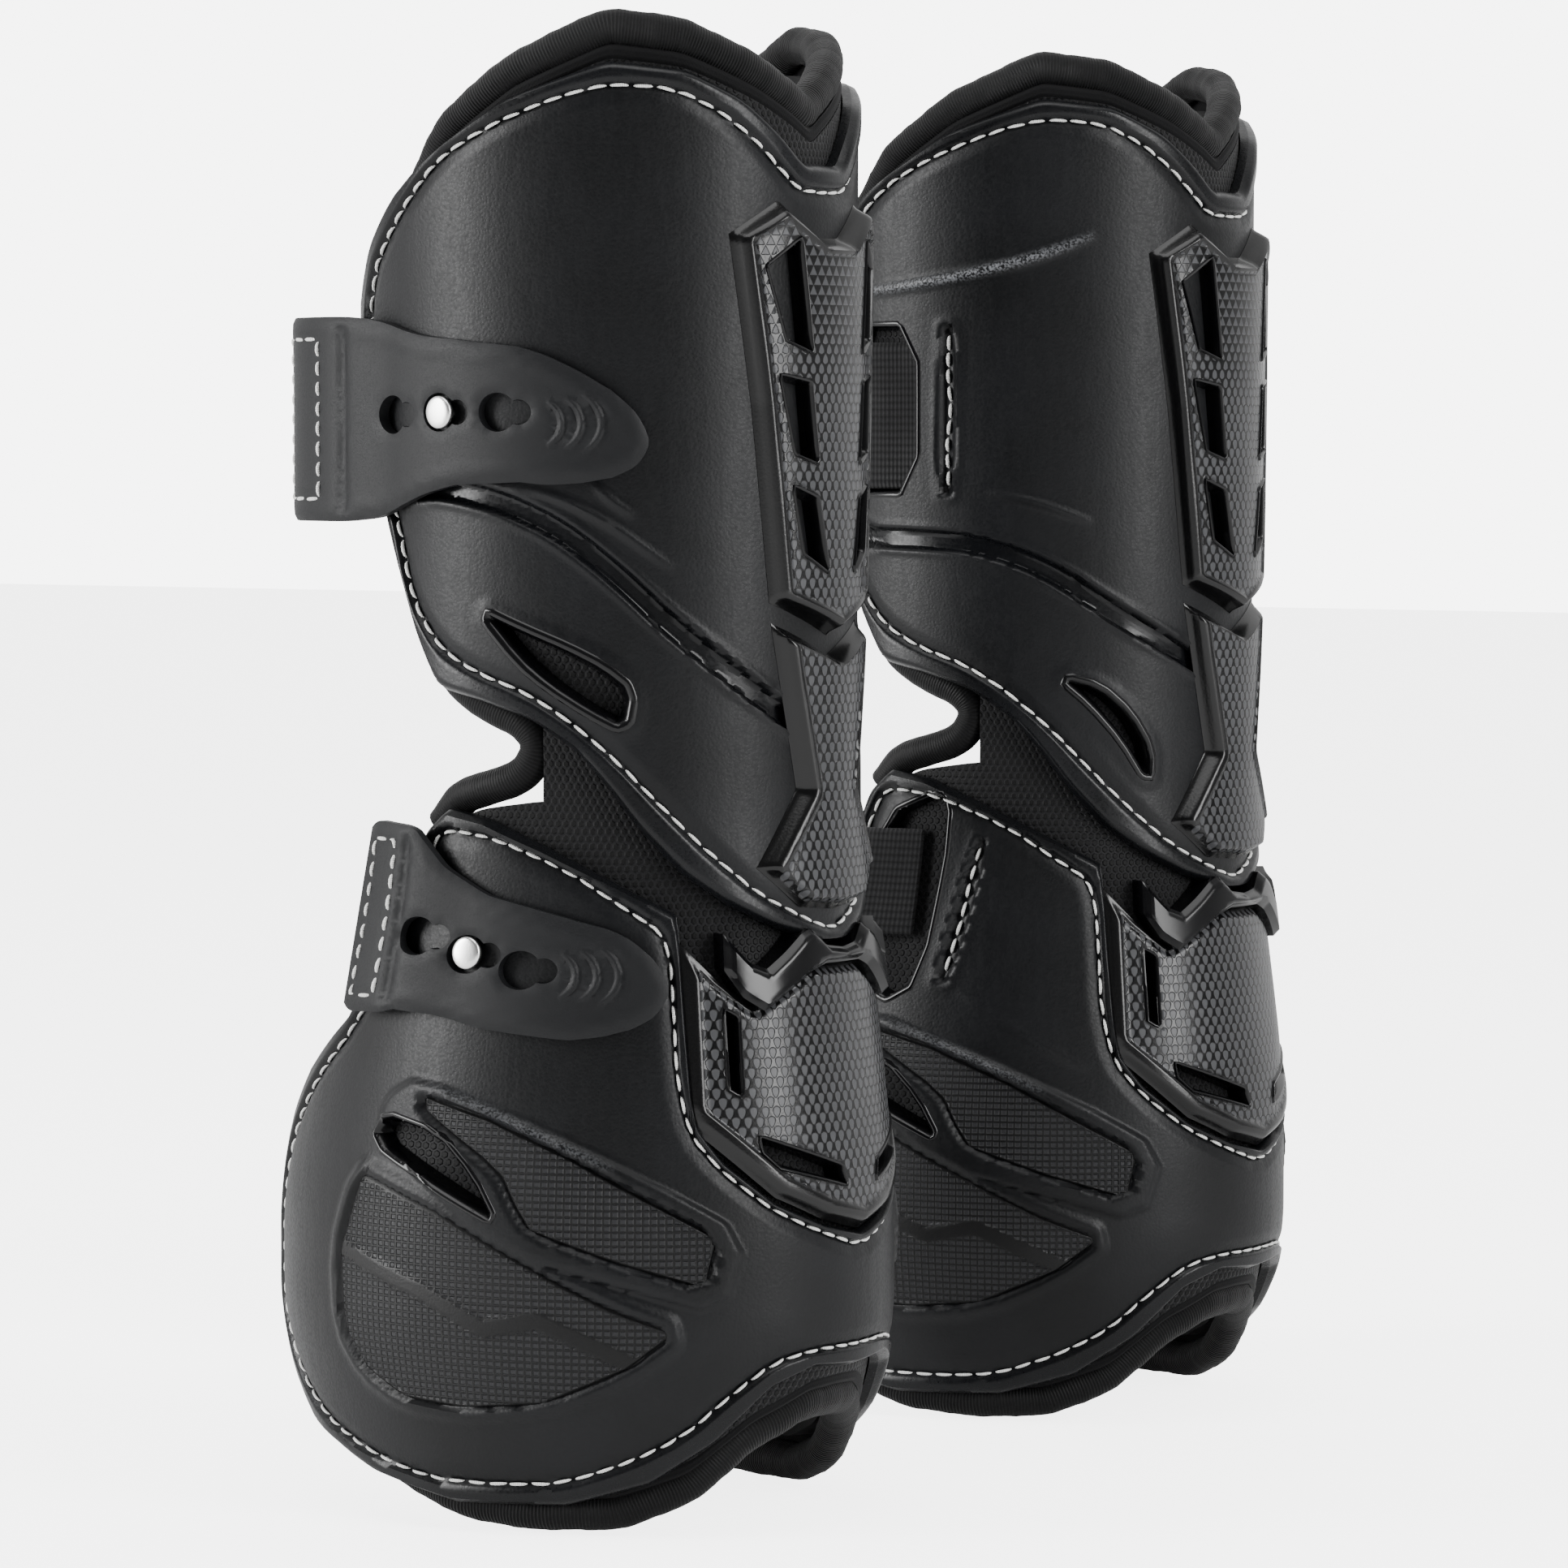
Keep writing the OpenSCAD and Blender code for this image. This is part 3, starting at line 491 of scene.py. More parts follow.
thread_white, tree, shader = finish("white_thread", (0.80, 0.80, 0.78), 0.55, Sheen_Weight=0.3)
uv = add(tree, "ShaderNodeSeparateXYZ")
feed(tree, uv.inputs[0], add(tree, "ShaderNodeUVMap", uv_map="sheet").outputs[0])
twist = calc(tree, "SINE", calc(tree, "ADD", calc(tree, "MULTIPLY", uv.outputs[0], 1400.0),
    calc(tree, "MULTIPLY", uv.outputs[1], 6.28)))
feed(tree, shader.inputs["Base Color"], blend_colour(tree, spread(tree, twist, -1.0, 0.4),
    (0.60, 0.60, 0.58, 1), (0.90, 0.90, 0.88, 1)))
feed(tree, shader.inputs["Roughness"], spread(tree, twist, -1.0, 1.0, 0.7, 0.5))
bump(tree, shader, twist, 0.5, 0.0001)

steel, tree, shader = finish("polished_steel", (0.86, 0.86, 0.85), 0.2, Metallic=1.0)
g = use(tree, grain, Scale=3000.0, Wrinkle=1.0)
feed(tree, shader.inputs["Roughness"], spread(tree, g["Patch"], 0.3, 0.7, 0.22, 0.34))
feed(tree, shader.inputs["Base Color"], blend_colour(tree, g["Patch"], (0.80, 0.80, 0.79, 1),
    (0.92, 0.92, 0.91, 1)))
bump(tree, shader, g["Height"], 0.08, 0.00004)
print("finishes:", len(bpy.data.materials))

# %% [markdown]
# ## The moulded shells
# A shell is a stiff moulding with its decoration pressed into it: a bevelled border, a sewn
# groove inside it, long curved channels, vents that open onto the mesh, and ledges that frame
# the grips. It is built as a height field: every mark adds or takes away height on the sheet.

# %% Outlines of the shells
upper_top = soft_line([(0, 303), (8, 303), (15, 309), (26, 317), (40, 323), (58, 325), (82, 317),
    (101, 306), (115, 297), (128, 286), (138, 273)])
upper_bottom = soft_line([(0, 130.6), (6, 130.8), (20, 135), (31, 140), (42, 147), (52, 157), (59, 166),
    (66, 174), (77, 181), (90, 185), (102, 187.5), (108, 199), (115, 214), (121, 227), (130, 244),
    (138, 258)])
lower_top = soft_line([(0, 66), (12, 69), (24, 74.5), (35, 84), (40, 91.5), (41, 95), (43, 138),
    (59, 146), (74, 153), (88, 158.5), (99, 160.5), (105, 155), (113, 132), (122, 113), (137, 100),
    (146, 88), (152, 69)], 0.5)
lower_bottom = soft_line([(0, 36), (14, 37), (24, 33), (35, 21), (48, 12), (65, 7), (89, 6), (109, 10),
    (132, 18), (146, 31), (152, 46)], 0.5)
upper_radius, lower_radius = 54.5, 62.0

def mirror_line(points):
    return points + [(-t, z) for t, z in reversed(points) if t > 0]

upper_sewn = mirror_line([(0, 133.5), (9, 136), (23, 142), (35, 151), (46, 161), (57, 172), (68, 181),
    (78, 187), (90, 191), (101, 196.5), (110, 207), (116, 225), (127, 246), (132.5, 260), (128, 279),
    (114, 292), (100, 304), (86, 311), (70, 317), (58, 320), (43, 319), (32, 314), (23, 308), (16, 302),
    (10, 297.5), (0, 297)])
lower_sewn = mirror_line([(0, 41), (14, 41), (24, 39), (33, 32), (42, 23), (53, 17), (66, 12), (80, 11),
    (95, 11), (111, 15), (126, 20.5), (138, 29), (147, 42), (149, 55), (148, 71), (143, 84), (133, 97),
    (119, 111), (109, 132), (102, 154), (97, 156), (85, 154.5), (68, 148), (54, 139), (47, 134.5),
    (45, 128), (44.5, 116), (44, 102), (41.5, 90), (35, 81.5), (24, 72.5), (12, 67), (0, 63)])
print("sewn line points:", len(upper_sewn), len(lower_sewn))

# %% Marks that both shells share
def border(s, z, edge, sewn):
    inside = np.maximum(shape_distance(s, z, edge), 0)
    seam = shape_distance(s, z, sewn)
    k = np.clip(inside / (inside + np.abs(seam) + 1e-6), 0, 1)
    piping = np.where(seam < 0, 1.25 * np.clip(4 * k * (1 - k) * 1.35, 0, 1), 0)
    groove = -0.6 * np.exp(-(seam / 0.7) ** 2)
    panel = 0.55 * ease((seam - 0.7) / 3.2)
    h = np.where(seam < 0, piping, panel) + groove - 1.0 * (1 - ease(inside / 1.0)) + 0.05
    return h, seam

def keep_open(faces, kinds, holes, s, z):
    """Faces of the outer sheet that lie outside every hole."""
    both_s, both_z = np.concatenate([s.ravel()] * 2), np.concatenate([z.ravel()] * 2)
    mid = np.stack([both_s[faces].mean(1), both_z[faces].mean(1)], -1)
    keep = np.ones(len(faces), bool)
    for hole in holes:
        keep &= (shape_distance(mid[:, 0], mid[:, 1], hole) < -0.25) | (kinds == 1)
    return keep

def rim(hole, radius, surface, lip=0.35, width=1.5, wall=1.1, bottom=-3.2):
    """A smooth bevelled ring round one opening, from just outside it down to the mesh."""
    loop = resample_loop(hole, 0.8)
    ahead, behind = np.roll(loop, -1, 0), np.roll(loop, 1, 0)
    run = ahead - behind
    run /= np.linalg.norm(run, axis=1)[:, None] + 1e-9
    area = 0.5 * np.sum(loop[:, 0] * ahead[:, 1] - ahead[:, 0] * loop[:, 1])
    out = np.stack([run[:, 1], -run[:, 0]], -1) * np.sign(area)
    steps = [(width, -0.25), (width * 0.86, 0.12), (width * 0.55, lip), (width * 0.25, lip * 0.92),
        (0.05, lip * 0.35), (-wall * 0.35, -0.5), (-wall * 0.7, None), (-wall, None)]
    rows = []
    for i, (off, level) in enumerate(steps):
        p = loop + out * off
        top = surface(p[:, 0], p[:, 1])
        h = top + level if level is not None else (top * 0.35 + bottom * 0.65
            if i == 6 else 0 * top + bottom)
        rows.append(np.stack([p[:, 0], p[:, 1], h], -1))
    grid = np.stack(rows)
    n, m = grid.shape[:2]
    verts = skin(np.degrees(grid[..., 0] / radius), grid[..., 1], grid[..., 2]).reshape(-1, 3)
    index = np.arange(n * m).reshape(n, m)
    after = np.roll(index, -1, 1)
    quads = np.stack([index[:-1], after[:-1], after[1:], index[1:]], -1).reshape(-1, 4)
    if area > 0:
        quads = quads[:, ::-1]
    return verts, [tuple(f) for f in quads.tolist()], grid[..., :2].reshape(-1, 2) / 100

def resample_loop(loop, gap):
    p = np.vstack([loop, loop[:1]])
    far = np.concatenate([[0], np.cumsum(np.hypot(*np.diff(p, axis=0).T))])
    at = np.linspace(0, far[-1], max(12, int(far[-1] / gap)), endpoint=False)
    return np.stack([np.interp(at, far, p[:, 0]), np.interp(at, far, p[:, 1])], -1)

def tray(h, d, depth=-1.1, wall=1.0, lip=0.25):
    """A shallow tray where d, the distance inside its outline, is above zero."""
    lipped = h + lip * np.exp(-((d + 0.8) / 1.4) ** 2)
    k = ease((d + wall / 2) / wall)
    return lipped * (1 - k) + depth * k

def channel(h, d, half, depth, wall):
    """A round-bottomed channel along a line, half wide to each side."""
    return h + depth * (1 - ease((d - half + wall / 2) / wall))

def ridge(s, z, points, radius, height, width, power):
    """A ridge that fades out towards both ends of a line."""
    d, along = line_distance(s, z, flat(rounded(points, 2, False), radius), True)
    swell = np.clip(4 * along * (1 - along), 0, 1) ** power
    return height * swell * np.exp(-(d / width) ** 2), d, along

def shape(points, radius):
    """A closed outline on the flat sheet, with its corners cut once."""
    return rounded(flat(points, radius), 1)

# %% [markdown]
# ### The tendon shell
# Its flank has a long S channel that runs from the strap to the guard, a wing-like crease above
# it, and a slanted vent. The inner flank has the window that the elastic comes out of and a
# short sewn slot beside it instead of the strap.

# %% Tendon shell heights
upper_vents = [[(89, 205), (78, 200.5), (68, 196.5), (60, 192.5), (53.5, 187.5), (55, 179), (63, 183),
    (72, 188.5), (79, 194)], [(-54, 184), (-46, 177.5), (-38, 169), (-30.5, 158), (-30, 166),
    (-36, 175), (-44, 181.5)]]
upper_window = [(-113, 229), (-91, 229), (-91, 270), (-113, 270)]

def upper_marks(t, z):
    r = upper_radius
    s = np.radians(t) * r
    cols = np.linspace(-138, 138, 185)
    edge = np.vstack([flat(list(zip(cols, upper_bottom(cols))), r),
        flat(list(zip(cols[::-1], upper_top(cols[::-1]))), r)])
    h, seam = border(s, z, edge, flat(rounded(upper_sewn, 1), r))
    gloss, rubbed = np.zeros(t.shape), np.zeros(t.shape)
    # S channel, then the crease over it
    outer_s = [(124, 232), (100, 232), (84, 229), (70, 223), (57, 213), (44, 201), (30, 191),
        (20, 184.5), (8, 178)]
    inner_s = [(-120, 219), (-103, 218), (-76, 217), (-58, 211), (-39, 199), (-22, 190.5), (-8, 184)]
    for path in (outer_s, inner_s):
        d, along = line_distance(s, z, flat(rounded(path, 3, False), r), True)
        h = channel(h, d, 2.2, -1.9, 1.1)
        gloss = np.maximum(gloss, 1 - ease((d - 2.2) / 0.5))
        h += 0.35 * np.exp(-((d - 3.3) / 0.7) ** 2)
    for path, height in (([(82, 232), (70, 230), (58, 224), (44, 214)], 0.9),
        ([(62, 233), (58, 229), (53, 226)], 0.8), ([(-72, 229), (-60, 227), (-46, 222)], 0.8)):
        rise, d, along = ridge(s, z, path, r, height, 0.9, 0.7)
        h += rise
    # A crease high on the inner flank, with a painted highlight along its crest
    rise, d, along = ridge(s, z, [(-112, 278), (-95, 279.5), (-76, 282.5), (-60, 286.5), (-45, 292)], r,
        0.9, 1.25, 0.8)
    h += rise
    rubbed = np.maximum(rubbed, np.exp(-((d - 0.1) / 0.9) ** 2)
        * np.clip(4 * along * (1 - along), 0, 1) ** 0.5)
    # Round each vent the skin swells a little; the sewn slot on the inner flank is a shallow tray
    for path in upper_vents:
        d = shape_distance(s, z, shape(path, r))
        h = h + 0.35 * ease((d + 4.5) / 3.0)
    d = shape_distance(s, z, shape([(-84.5, 228.5), (-81, 228.5), (-80.5, 270), (-84, 270)], r))
    h = tray(h, d)
    return h, seam, gloss, rubbed

# %% Build the tendon shells
def with_rims(verts, faces, uv, index, masks, holes, radius, surface, material, facts):
    """Adds a bevelled ring round every opening to a piece's arrays."""
    faces = [tuple(f) for f in faces.tolist()]
    index = list(index)
    for hole, settings in zip(holes, facts):
        v, f, u = rim(hole, radius, surface, **settings)
        faces += [tuple(i + len(verts) for i in q) for q in f]
        index += [material] * len(f)
        verts, uv = np.vstack([verts, v]), np.vstack([uv, u])
        masks = {key: np.concatenate([m, np.full(len(v), 1.0 if key == "smooth" else 0.0)])
            for key, m in masks.items()}
    return verts, faces, uv, index, masks

def shell(side, name, columns, rows, bottom, top, marks, radius, holes, rims, waist=None):
    """A moulded sheet. Its rows run evenly from edge to edge, or through a waist line where
    the top edge steps."""
    t = np.repeat(columns[:, None], len(rows), 1)
    low, high = bottom(columns)[:, None], top(columns)[:, None]
    z = low * (1 - rows) + high * rows
    if waist:
        middle, share = waist(columns)[:, None], 0.62
        z = np.where(rows < share, low + (middle - low) * rows / share,
            middle + (high - middle) * (rows - share) / (1 - share))
    h, seam, gloss, rubbed = marks(t, z)
    verts, faces, kinds = slab(t, z, -3.0, h, inner=False)
    outlines = [shape(hole, radius) for hole in holes]
    keep = keep_open(faces, kinds, outlines, np.radians(t) * radius, z)
    twice = lambda a: np.concatenate([a.ravel(), a.ravel()])
    # smooth marks the glossy channels and piping; the second mask is the painted highlight on ridge crests
    masks = {"smooth": twice(np.maximum(gloss, (seam < 0) * 0.55)), "rubbed": twice(rubbed)}
    index = np.zeros(int(keep.sum()), int)
    surface = lambda s, z: marks(np.degrees(s / radius), z)[0]
    verts, faces, uv, index, masks = with_rims(verts, faces[keep], sheet_uv(t, z, radius), index, masks,
        outlines, radius, surface, 1, rims)
    return build(name, side, verts, faces, [shell_black, gloss_black], uv, index, masks, sharp=50)

step = 1.0
even = lambda n: np.linspace(0, 1, int(n / step))
columns = np.linspace(-138, 138, int(300 / step))
both("tendon_shell", "upper", ["upper_shell"],
    lambda side: shell(side, "tendon_shell", columns, even(215), upper_bottom, upper_top, upper_marks,
    upper_radius, upper_vents + [upper_window], [dict(lip=0.45, width=1.9, wall=1.6)] * 2
    + [dict(lip=0.35, width=1.4)]))

# %% [markdown]
# ### The fetlock shell
# It cups the joint below. Two ledges frame the grip pads, a glossy vent cuts in between them,
# and the strike guard sits in a cut-out whose border is piped and sewn like the outer edge.

# %% Fetlock shell heights
bar = [(36.5, 67.5), (39, 56), (56, 62), (71.5, 68.5), (74.5, 74), (77, 80), (81, 84), (94, 93.5),
    (95, 97.5), (80, 93), (64, 85), (50, 76)]
crescent = [(44.5, 46.5), (54, 38), (69, 30), (85, 28), (98, 29), (107, 34.5), (112, 43), (113, 60),
    (108, 78.5), (103, 77), (89, 71.5), (72, 61), (57, 52)]
vent = [(103.5, 93), (90, 89.5), (82, 80.5), (77, 70), (84, 74), (92, 78.5), (106.5, 86)]

lower_holes = [vent, [(-a, b) for a, b in reversed(vent)],
    [(-106, 119), (-94, 103), (-85, 109), (-81, 149), (-84, 156), (-99, 149)]]

def lower_marks(t, z):
    r = lower_radius
    s = np.radians(t) * r
    cols = np.linspace(-152, 152, 310)
    edge = np.vstack([flat(list(zip(cols, lower_bottom(cols))), r),
        flat(list(zip(cols[::-1], lower_top(cols[::-1]))), r)])
    h, seam = border(s, z, edge, flat(rounded(lower_sewn, 1), r))
    gloss, rubbed = np.zeros(t.shape), np.zeros(t.shape)
    for flank in (1, -1):
        f = lambda points: [(flank * a, b) for a, b in points]
        # Ledges round the pads: a broad rounded step with a crisp inner edge
        frame_line = f([(31, 68), (36, 50.5), (56, 57.5), (76, 64), (104, 88), (104, 96), (96, 101.5),
            (72, 92), (50, 80.5)])
        ledge = shape_distance(s, z, shape(frame_line, r))
        h += 1.5 * ease((ledge + 0.9) / 1.6)
        d = shape_distance(s, z, shape(f(crescent), r))
        h += 1.1 * ease((d + 4.6) / 2.6) * (1 - ease((ledge + 1.6) / 1.6))
        for outline in (bar, crescent):
            d = shape_distance(s, z, shape(f(outline), r))
            k = ease((d + 1.0) / 1.2)
            h = h * (1 - k) + 0.05 * k
        # A low ridge along each ledge, with a fainter painted highlight along its crest
        rise, d, along = ridge(s, z, f([(94, 99.5), (84, 96.5), (70, 90), (56, 82.5)]), r, 0.25, 0.8, 0.5)
        h += rise
        rubbed = np.maximum(rubbed, 0.4 * np.exp(-(d / 0.9) ** 2)
            * np.clip(4 * along * (1 - along), 0, 1) ** 0.5)
    rise, d, along = ridge(s, z, [(-76, 107), (-62, 97), (-47, 88)], r, 0.5, 1.1, 0.7)
    h += rise
    d = shape_distance(s, z, shape([(-71, 144), (-74.5, 144), (-81.5, 109), (-78, 109)], r))
    h = tray(h, d)
    return h, seam, gloss, rubbed

# %% Build the fetlock shells
columns = np.unique(np.concatenate([np.linspace(-152, 152, int(345 / step)),
                                    np.linspace(40, 45, 14), np.linspace(-45, -40, 14)]))
both("fetlock_shell", "lower", ["lower_shell"],
    lambda side: shell(side, "fetlock_shell", columns, even(150), lower_bottom, lower_top, lower_marks,
    lower_radius, lower_holes, [dict(lip=0.35, width=1.1, wall=1.5)] * 2 + [dict(lip=0.35, width=1.5)],
    line([(0, 55), (24, 65), (35, 73), (40, 79), (43, 83), (60, 93), (90, 104), (105, 100), (113, 86),
    (122, 76), (137, 66), (146, 60), (152, 57)])))

# %% [markdown]
# ### Grip pads
# Two pads to a flank, a bar and a crescent, cut into small square teeth. A smooth zigzag band
# runs across the crescent. They are separate mouldings set into the ledges.

# %% Build the grip pads
def pad(side, name, outline, flank, columns, bottom, top):
    r = lower_radius
    t = np.repeat(flank * columns[::flank][:, None], 60, 1)
    a = np.abs(t[:, 0])
    rows = np.linspace(0, 1, 60)
    z = bottom(a)[:, None] * (1 - rows) + top(a)[:, None] * rows
    s = np.radians(t) * r
    d = shape_distance(s, z, flat([(flank * x, y) for x, y in outline], r))
    zigzag = line_distance(s, z, flat([(flank * x, y)
        for x, y in ((118, 64), (92, 53.5), (80, 46.5), (70, 49), (56, 41.5), (46, 36))], r))
    clear = np.clip((zigzag - 1.8) / 0.4, 0, 1) if name == "crescent" else np.ones(t.shape)
    h = 0.3 + 0.6 * ease(d / 0.8) + 0.3 * (1 - clear)
    verts, faces, kinds = slab(t, z, -0.4, h)
    return verts, faces, sheet_uv(t, z, r), ease((d - 0.7) / 0.4) * clear

def grip_pads(side):
    parts = [pad(side, "bar", bar, f, np.linspace(36.5, 95, 100),
        line([(36.5, 67), (39, 56), (56, 62), (71.5, 68.5), (74.5, 74), (77, 80), (81, 84), (94, 93.5),
        (95, 97)]), line([(36.5, 67.5), (50, 76), (64, 85), (80, 93), (95, 97.5)])) for f in (1, -1)]
    parts += [pad(side, "crescent", crescent, f, np.linspace(44.5, 113, 110),
        line([(44.5, 46), (54, 38), (69, 30), (85, 28), (98, 29), (107, 34.5), (112, 43), (113, 59)]),
        line([(44.5, 47), (57, 52), (72, 61), (89, 71.5), (103, 77), (108, 78.5), (112, 66),
        (113, 61)])) for f in (1, -1)]
    shift = np.cumsum([0] + [len(p[0]) for p in parts])
    field = np.concatenate([np.concatenate([p[3].ravel(), p[3].ravel()]) for p in parts])
    return build("grip_pads", side, np.vstack([p[0] for p in parts]),
        np.vstack([p[1] + k for p, k in zip(parts, shift)]), [grip], np.vstack([p[2] for p in parts]),
        masks={"field": field}, sharp=50)

both("grip_pads", "lower", ["grip_pads"], grip_pads)

# %% [markdown]
# ## Strike guards
# Three plates run up the spine, where a hind hoof can strike. Each is a thick moulding with a
# broad glossy bevel, a sunken field of scales, and slots that let air in.

# %% One guard
def guard(side, name, n, m, bottom, top, half_angle, base, vents, frames, upper_share, brim=0.3,
    radius=58.0):
    u = np.repeat(np.linspace(-1, 1, n)[:, None], m, 1)
    v = np.repeat(np.linspace(0, 1, m)[None, :], n, 0)
    low, high = line(bottom)(u), line(top)(u)
    z = low * (1 - v) + high * v
    zs, angles = zip(*half_angle)
    t = u * np.interp(z, zs, angles)
    s = np.radians(t) * radius
    edge = np.vstack([np.stack([s[:, 0], z[:, 0]], -1), np.stack([s[-1], z[-1]], -1),
                      np.stack([s[::-1, -1], z[::-1, -1]], -1), np.stack([s[0, ::-1], z[0, ::-1]], -1)])
    side_frame, top_frame, bottom_frame = frames
    sides = line_distance(s, z, np.stack([s[0], z[0]], -1)), line_distance(s, z,
        np.stack([s[-1], z[-1]], -1))
    over = line_distance(s, z, np.stack([s[:, -1], z[:, -1]], -1))
    under = line_distance(s, z, np.stack([s[:, 0], z[:, 0]], -1))
    across = np.minimum(*sides)
    d = np.minimum(across, np.minimum(over, under))
    # How far a point is past the frame: each edge has its own width of bevel
    past = np.minimum(across - side_frame, np.minimum(over - top_frame, under - bottom_frame))

    def surface_at(u_here, d_here, past_here):
        crown = base + 3.3 + 2.2 * (1 - u_here * u_here)
        rise = base + brim + (crown - base - brim) * ease((d_here + 0.1) / 3.0)
        return rise - 0.75 * ease(past_here / 0.9)

    h = surface_at(u, d, past)
    field = ease((past - 0.4) / 0.5)
    outlines = [flat([(flank * a, b) for a, b in path], radius) for path in vents for flank in (1, -1)]
    for outline in outlines:
        e = shape_distance(s, z, outline)
        field = np.minimum(field, ease((-e - 1.0) / 0.4))
    verts, faces, kinds = slab(t, z, base, h, inner=False)
    keep = keep_open(faces, kinds, outlines, s, z)
    two = lambda a: np.concatenate([a.ravel(), a.ravel()])
    masks = {"field": two(field), "upper": two(ease((z - upper_share) / 30))}
    zs_, angles_ = np.array(zs), np.array(angles)

    def surface(s_here, z_here):
        u_here = np.degrees(s_here / radius) / np.interp(z_here, zs_, angles_)
        return base + 3.3 + 2.2 * (1 - np.clip(u_here, -1, 1) ** 2) - 0.75

    verts, faces, uv, index, masks = with_rims(verts, faces[keep], sheet_uv(t, z, radius),
        np.zeros(int(keep.sum()), int), masks, outlines, radius, surface, 1,
        [dict(lip=0.5, width=0.9, wall=0.8, bottom=base - 0.4)] * len(outlines))
    return build(name, side, verts, faces, [scale_skin, gloss_black], uv, index, masks, sharp=55)

# %% Build the three guards of each boot
fine = 1
both("upper_strike_guard", "upper", ["upper_guard"],
    lambda side: guard(side, "upper_strike_guard", int(75 * fine), int(130 * fine),
    [(0, 199), (1, 206.5)], [(0, 287), (0.16, 287), (0.56, 295), (1, 287.5)],
    [(198, 19), (250, 25), (290, 31)], 0.4, [[(22.5, 280.5), (14, 286.5), (10.8, 262), (17.5, 264.5)],
    [(19, 256.5), (11.2, 255), (9, 237.5), (15, 239.5)],
    [(15.4, 232), (9, 229.5), (5.6, 213.5), (12.5, 217.5)]], (4.2, 3.0, 3.4), 245))
both("middle_strike_guard", "upper", ["mid_guard"], lambda side: guard(side, "middle_strike_guard",
     int(60 * fine), int(90 * fine), [(0, 138), (0.5, 139), (1, 148)], [(0, 194.5), (1, 202)],
     [(140, 24), (148, 24), (165, 11.5), (185, 16), (202, 19.5)], 0.4, [], (4.2, 2.0, 0.8), 400))
both("fetlock_strike_guard", "lower", ["lower_guard"],
    lambda side: guard(side, "fetlock_strike_guard", int(110 * fine), int(80 * fine),
    [(0, 66.8), (0.3, 69.8), (0.6, 75.6), (1, 91.5)],
    [(0, 126), (0.2, 126.4), (0.42, 122), (0.62, 117.5), (0.82, 124), (1, 132)],
    [(66, 38), (80, 40.4), (92, 41.4), (96, 42.4), (132, 43)], -2.9,
    [[(33.3, 117), (30.7, 115.5), (30.7, 98.5), (33, 100)],
    [(27, 89), (7, 81.5), (6, 77.5), (23, 82.5), (26.5, 86)]], (3.6, 0.8, 4.4), 400, brim=2.5))

# %% [markdown]
# ### The bridge
# A glossy bridge crosses the spine below the tendon shell and hooks round the end of the mesh
# slot on each flank, so that the fetlock shell stays centred while the spine flexes.

# %% Build the bridge
def bridge(side):
    columns = np.linspace(-34, 34, 124)
    low = line([(0, 126.4), (7, 126.4), (12, 124.8), (19, 120.6), (25, 116.8), (30, 120), (34, 126)])
    top = line([(0, 129.6), (6, 130.4), (9, 133), (11, 134.4), (14, 133.2), (19, 129.4), (24, 126),
        (28, 127.6), (34, 134)])
    rows = np.linspace(0, 1, 12)
    t = np.repeat(columns[:, None], 12, 1)
    z = low(columns)[:, None] * (1 - rows) + top(columns)[:, None] * rows
    d = np.minimum(z - z[:, :1], z[:, -1:] - z)
    d = np.minimum(d, np.radians(34 - np.abs(t)) * 60)
    h = 2.6 + 1.8 * ease(d / 1.8)
    verts, faces, kinds = slab(t, z, -3.0, h)
    return build("hinge_bridge", side, verts, faces, [gloss_black], sheet_uv(t, z, 60), sharp=50)

both("hinge_bridge", "lower", ["hinge_bridge"], bridge)

# %% [markdown]
# ## Soft parts
# Under the shells lies spacer mesh, and against the leg a thick neoprene liner. Both carry on
# unbroken over the flexing spine, so each is one piece across the two shells, attached to
# neither body.

# %% Outline of the lining
crest = soft_line([(0, 319), (6, 322), (20, 328), (40, 335), (58, 337), (81, 328), (101, 316),
    (122, 293), (134, 277)])
hem = soft_line([(0, 23.5), (10, 23), (25, 17), (39, 6), (55, 0.6), (73, 0), (89, 1), (109, 7.5),
    (124, 13)])
liner_low = soft_line([(0, 28), (10, 27.5), (25, 21.5), (39, 11), (55, 5.5), (73, 5), (89, 6),
    (109, 13), (132, 21), (146, 36)])
liner_gap_top = soft_line([(0, 132), (20, 133), (38, 145.5), (54, 159), (68, 171), (72.5, 177),
    (75, 185.4), (82, 186.2), (92, 189), (104, 194), (112, 208), (120, 225), (130, 242), (138, 255)])
liner_gap_low = soft_line([(0, 129.6), (20, 129), (38, 139), (54, 149), (68, 159.5), (72.5, 164),
    (75, 162.5), (82, 162), (92, 160.5), (103, 156), (112, 131), (122, 111), (137, 93), (146, 74)])

# How far the lining stops short of the lines that the rolls follow
above_hem, below_crest = 5.7, 11.2

